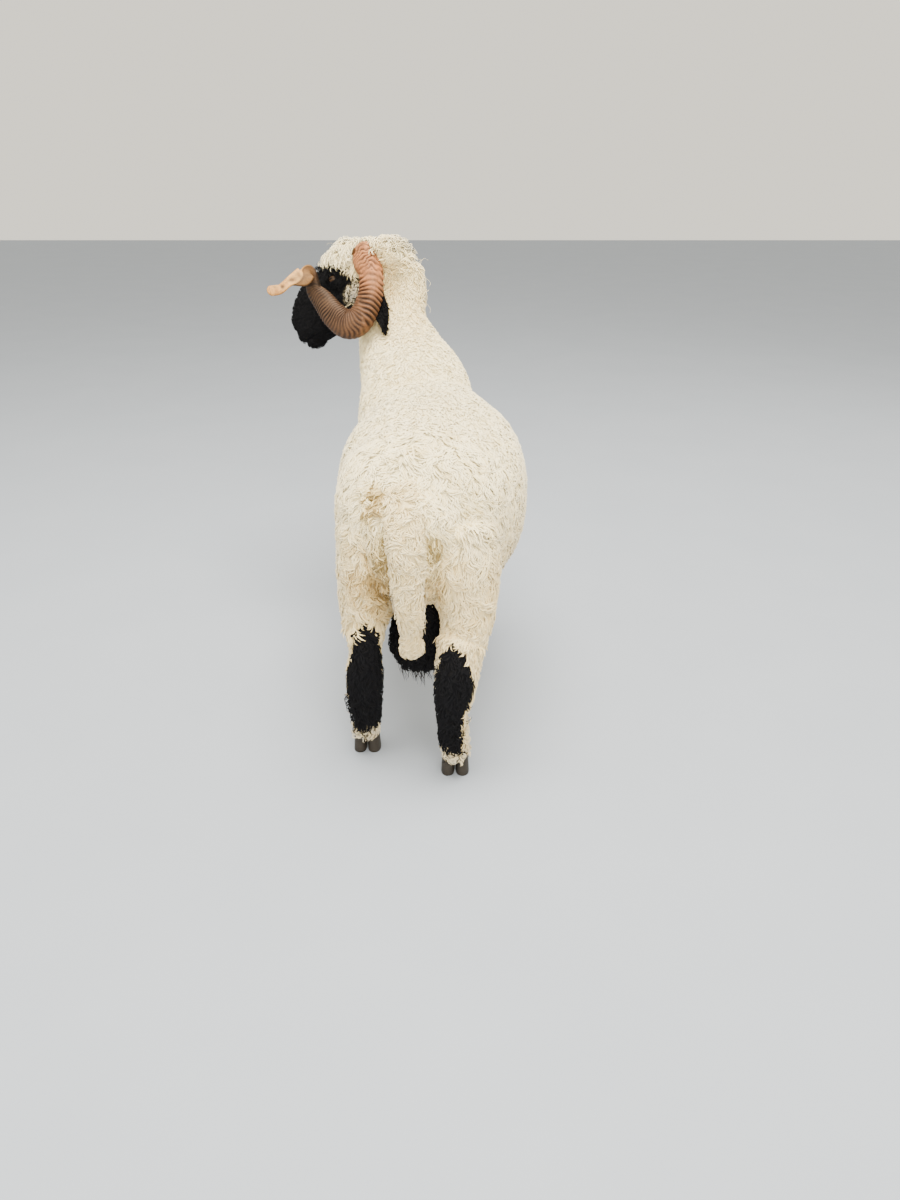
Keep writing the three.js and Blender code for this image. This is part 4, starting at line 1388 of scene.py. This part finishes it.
def horn(side):
    """The coil with its cross ridges, which wander and fade towards the flat tip."""
    last = len(HORN_ROWS) - 1
    u = np.linspace(0, last, HORN_RINGS)
    at = horn_line(side, u)
    mid = at[:, :3]
    ahead = horn_line(side, np.minimum(u + 0.05, last)) - horn_line(side, np.maximum(u - 0.05, 0))
    ahead = unit(ahead[:, :3])
    thin = unit(np.array([side, 0.0, 0.0]) - ahead * (side * ahead[:, :1]))
    broad = np.cross(ahead, thin) * -side
    run = np.concatenate([[0], np.cumsum(np.linalg.norm(np.diff(mid, axis=0), axis=1))])
    a = np.arange(HORN_SIDES) / HORN_SIDES * 2 * math.pi
    stand, groove = horn_relief(u, run, a)
    cu, su = (signed_power(q, 0.86) for q in (np.cos(a), np.sin(a)))
    p = (
        mid[:, None]
        + broad[:, None] * (cu[None] * at[:, 3:4] * (1 + stand))[..., None]
        + thin[:, None] * (su[None] * at[:, 4:5] * (1 + stand))[..., None]
    )
    end = np.linspace(1, 0.1, HORN_CAP_RINGS)[:, None, None]
    cap = mid[-1] + (p[-1] - mid[-1])[None] * np.sqrt(end) + ahead[-1] * 8 * (1 - end)
    groove = np.concatenate([groove, np.zeros((HORN_CAP_RINGS, HORN_SIDES))])
    place = np.repeat(np.append(u / last, np.ones(HORN_CAP_RINGS)), HORN_SIDES)
    p = np.concatenate([p, cap])
    if side > 0:
        p, groove = p[:, ::-1], groove[:, ::-1]
    points, faces = ring_mesh(from_head(p))
    obj = object_from(f"horn_{SIDES[side]}_ridged", metres(points), faces)
    set_attribute(obj.data, "groove", np.append(groove.ravel(), [0, 0]))
    set_attribute(obj.data, "place", np.append(place, [0, 1]))
    obj.data.materials.append(HORN)
    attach(obj, "root")
    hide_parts(f"horn_{SIDES[side]}")


EAR_SIDES = 40
EAR_HAIRS = 1500


def ear(side):
    """A leaf, cupped on its inner face, with short fur of its own."""
    loft = EARS[side]
    t, _, p = loft.grid(14, EAR_SIDES, 0)
    h = to_head(p)
    mid = catmull(loft.rows, t)
    _, wide, high = loft.axes(t)
    offset = h - mid[..., :3]
    across = (offset * wide).sum(-1) / mid[..., 3]
    above = (offset * high).sum(-1)
    cup = step(t, 0.8, 2.2) * (1 - 0.4 * step(t, loft.last - 0.6, loft.last))
    inner = (np.sign(above) == -side) & (np.abs(across) < 0.9)
    hollow = np.where(inner, (0.9 - np.abs(across)) * 9 * cup, 0)
    h = h - high * (-side * hollow)[..., None]
    h = h + high * (-side * 5 * across**2 * cup)[..., None]
    points, faces = ring_mesh(from_head(h))
    obj = object_from(f"ear_{SIDES[side]}_leaf", metres(points), faces)
    for key, value in (("dark", 1.0), ("warm", 0.0), ("grey", 0.0), ("tone", 0.5)):
        set_attribute(obj.data, key, np.full(len(points), value))
    obj.data.materials.append(SKIN_WOOL)
    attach(obj, "root")
    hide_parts(f"ear_{SIDES[side]}")
    ear_fur(side, obj.data)


def ear_fur(side, mesh):
    """Short hairs along the ear, black like the scrotum, whose place on the unwrap they share."""
    co = millimetres(vertex_values(mesh, "co"))
    no = vertex_values(mesh, "normal")
    rng = np.random.default_rng(50 + side)
    corners = np.array([p.vertices[:3] for p in mesh.polygons])
    area = triangle_areas(co, corners)
    pick = corners[rng.choice(len(corners), EAR_HAIRS, p=area / area.sum())]
    w = rng.dirichlet([1, 1, 1], EAR_HAIRS)[..., None]
    got = {
        "p": (co[pick] * w).sum(1),
        "n": unit((no[pick] * w).sum(1)),
        "region": np.full(EAR_HAIRS, REGION["scrotum"]),
        "t": rng.random(EAR_HAIRS) * 2,
        "a": rng.random(EAR_HAIRS) * 6.28,
    }
    rows = EARS[side].rows
    lie = np.broadcast_to(from_head(rows[-1, :3]) - from_head(rows[0, :3]), got["p"].shape)
    coat(f"coat_ear_{SIDES[side]}", got, lie, 10, 2.8, 2.2, spans=3, turn=0.6, wave=(0.5, 1),
         sink=1.0, tone=(0.8, 0.15), clump=9, seed=60 + side)


def eye(side):
    """The eyeball with its dark brown iris and level pupil."""
    rings, sides = 40, 48
    phi = np.linspace(0.02, math.pi - 0.02, rings)[:, None]
    th = np.arange(sides)[None] / sides * 2 * math.pi
    x = np.cos(phi) * np.ones_like(th)
    y = np.sin(phi) * np.cos(th)
    z = np.sin(phi) * np.sin(th)
    bulge = 1 + 0.05 * step(x, 0.72, 0.95)
    p = np.stack([x * side, y, z], -1) * (EYE_RADIUS * bulge)[..., None]
    p += np.array([side * EYE_AT[0], EYE_AT[1], EYE_AT[2]])
    iris = np.where(x > 0, 1 - np.sqrt(y**2 + z**2) / 0.78, 0)
    value = np.where(iris > 0, 0.55 + 0.3 * np.clip(iris, 0, 1), 0.25)
    pupil = (np.abs(y) / 0.36) ** 4 + (np.abs(z) / 0.13) ** 4 < 1
    value = np.where(pupil & (x > 0), 1.0, value)
    points, faces = ring_mesh(from_head(p))
    obj = object_from(f"eyeball_{SIDES[side]}", metres(points), faces)
    set_attribute(obj.data, "iris", np.append(value.ravel(), [1.0, 0.2]))
    obj.data.materials.append(EYE)
    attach(obj, "root")
    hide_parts(f"eye_{SIDES[side]}")


CLAW_SIDES = 32


def claw(at, dx):
    """One claw: broad at its flat sole, pinched at the toe towards the cleft."""
    out = 1 if dx > 0 else -1
    a = np.arange(CLAW_SIDES) / CLAW_SIDES * 2 * math.pi
    c, s = np.cos(a), np.sin(a)
    u = signed_power(c, 0.85)
    pinch = 1 - 0.28 * np.clip(s, 0, 1) ** 2 * (np.sign(c) == out)
    rings = []
    for f in np.linspace(0, 1, 14):
        wide = CLAW["wide"] * (1 - 0.12 * f) * (1 - 0.25 * max(0, f - 0.8) / 0.2)
        long = np.where(s > 0, CLAW["toe"] * (1 - 0.52 * f), CLAW["heel"] * (1 - 0.18 * f))
        v = signed_power(s, 0.9) * long
        x = at[0] + dx * (1 - 0.06 * f) + u * wide * pinch
        rings.append(np.stack([x, at[1] + v, np.full(CLAW_SIDES, CLAW["top"] * f)], 1))
    return ring_mesh(np.array(rings))


def hoof(node, at):
    """Two claws with flat soles, a cleft between them and two small dewclaws behind."""
    pieces = [claw(at, dx) for dx in (-CLAW["apart"], CLAW["apart"])]
    for dx in (-16, 16):
        pieces.append(ellipsoid((at[0] + dx, at[1] - 25, 66), (7, 7, 11), False, 16, 10))
    pieces.append(ellipsoid((at[0], at[1] - 7, 42), (21, 15, 14), False, 20, 12))
    points, faces = joined(pieces)
    obj = object_from(f"{node}_claws", metres(points), faces)
    obj.data.materials.append(HOOF)
    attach(obj, "root")
    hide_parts(node)


for side in SIDES:
    horn(side)
    ear(side)
    eye(side)
for node, at in HOOVES.items():
    hoof(node, at)

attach(skin, "root")
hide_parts(*[name for name in REGION if name != "poll"])


# Stage, light and camera

DAYLIGHT = (1.0, 0.945, 0.82)
SKY = (1.0, 0.945, 0.81, 1)
CAMERA_AT = (98, -1765, 1300)
CAMERA_DOWN = 26.34
LENS = 27.03


def floor(half=14):
    corners = [(-half, -half, 0), (half, -half, 0), (half, half, 0), (-half, half, 0)]
    obj = object_from("floor", corners, [(0, 1, 2, 3)])
    mat, nodes, links, bsdf = new_material("floor_pale", 0.9, 0.5)
    grain = noise(nodes, links, 3, 2)["Fac"]
    colour = mixed(nodes, links, (0.315, 0.35, 0.415), (0.345, 0.38, 0.445), grain)
    links.new(colour, bsdf.inputs["Base Color"])
    obj.data.materials.append(mat)


def area_light(name, at, size, power, target=(0, 0, 0.6)):
    light = bpy.data.lights.new(name, "AREA")
    light.shape = "DISK"
    light.size = size
    light.energy = power
    light.color = DAYLIGHT
    obj = bpy.data.objects.new(name, light)
    obj.location = at
    obj.rotation_euler = (Vector(target) - Vector(at)).to_track_quat("-Z", "Y").to_euler()
    bpy.context.scene.collection.objects.link(obj)


def sky():
    world = bpy.data.worlds.new("sky")
    world.use_nodes = True
    world.node_tree.nodes["Background"].inputs["Color"].default_value = SKY
    world.node_tree.nodes["Background"].inputs["Strength"].default_value = 1.3
    bpy.context.scene.world = world


def camera():
    data = bpy.data.cameras.new("camera")
    data.lens = LENS
    data.sensor_width = 36
    data.sensor_fit = "AUTO"
    obj = bpy.data.objects.new("camera", data)
    obj.location = metres(CAMERA_AT)
    obj.rotation_euler = (math.radians(90 - CAMERA_DOWN), 0, 0)
    bpy.context.scene.collection.objects.link(obj)
    bpy.context.scene.camera = obj


floor()
sky()
area_light("overhead", (0.2, -0.7, 4.4), 3.2, 560)
area_light("rear_fill", (0.8, -4.2, 2.4), 3.0, 240)
area_light("left_fill", (-3.6, -1.6, 2.4), 3.0, 60)
area_light("right_fill", (3.6, 1.6, 2.2), 3.0, 40)
camera()
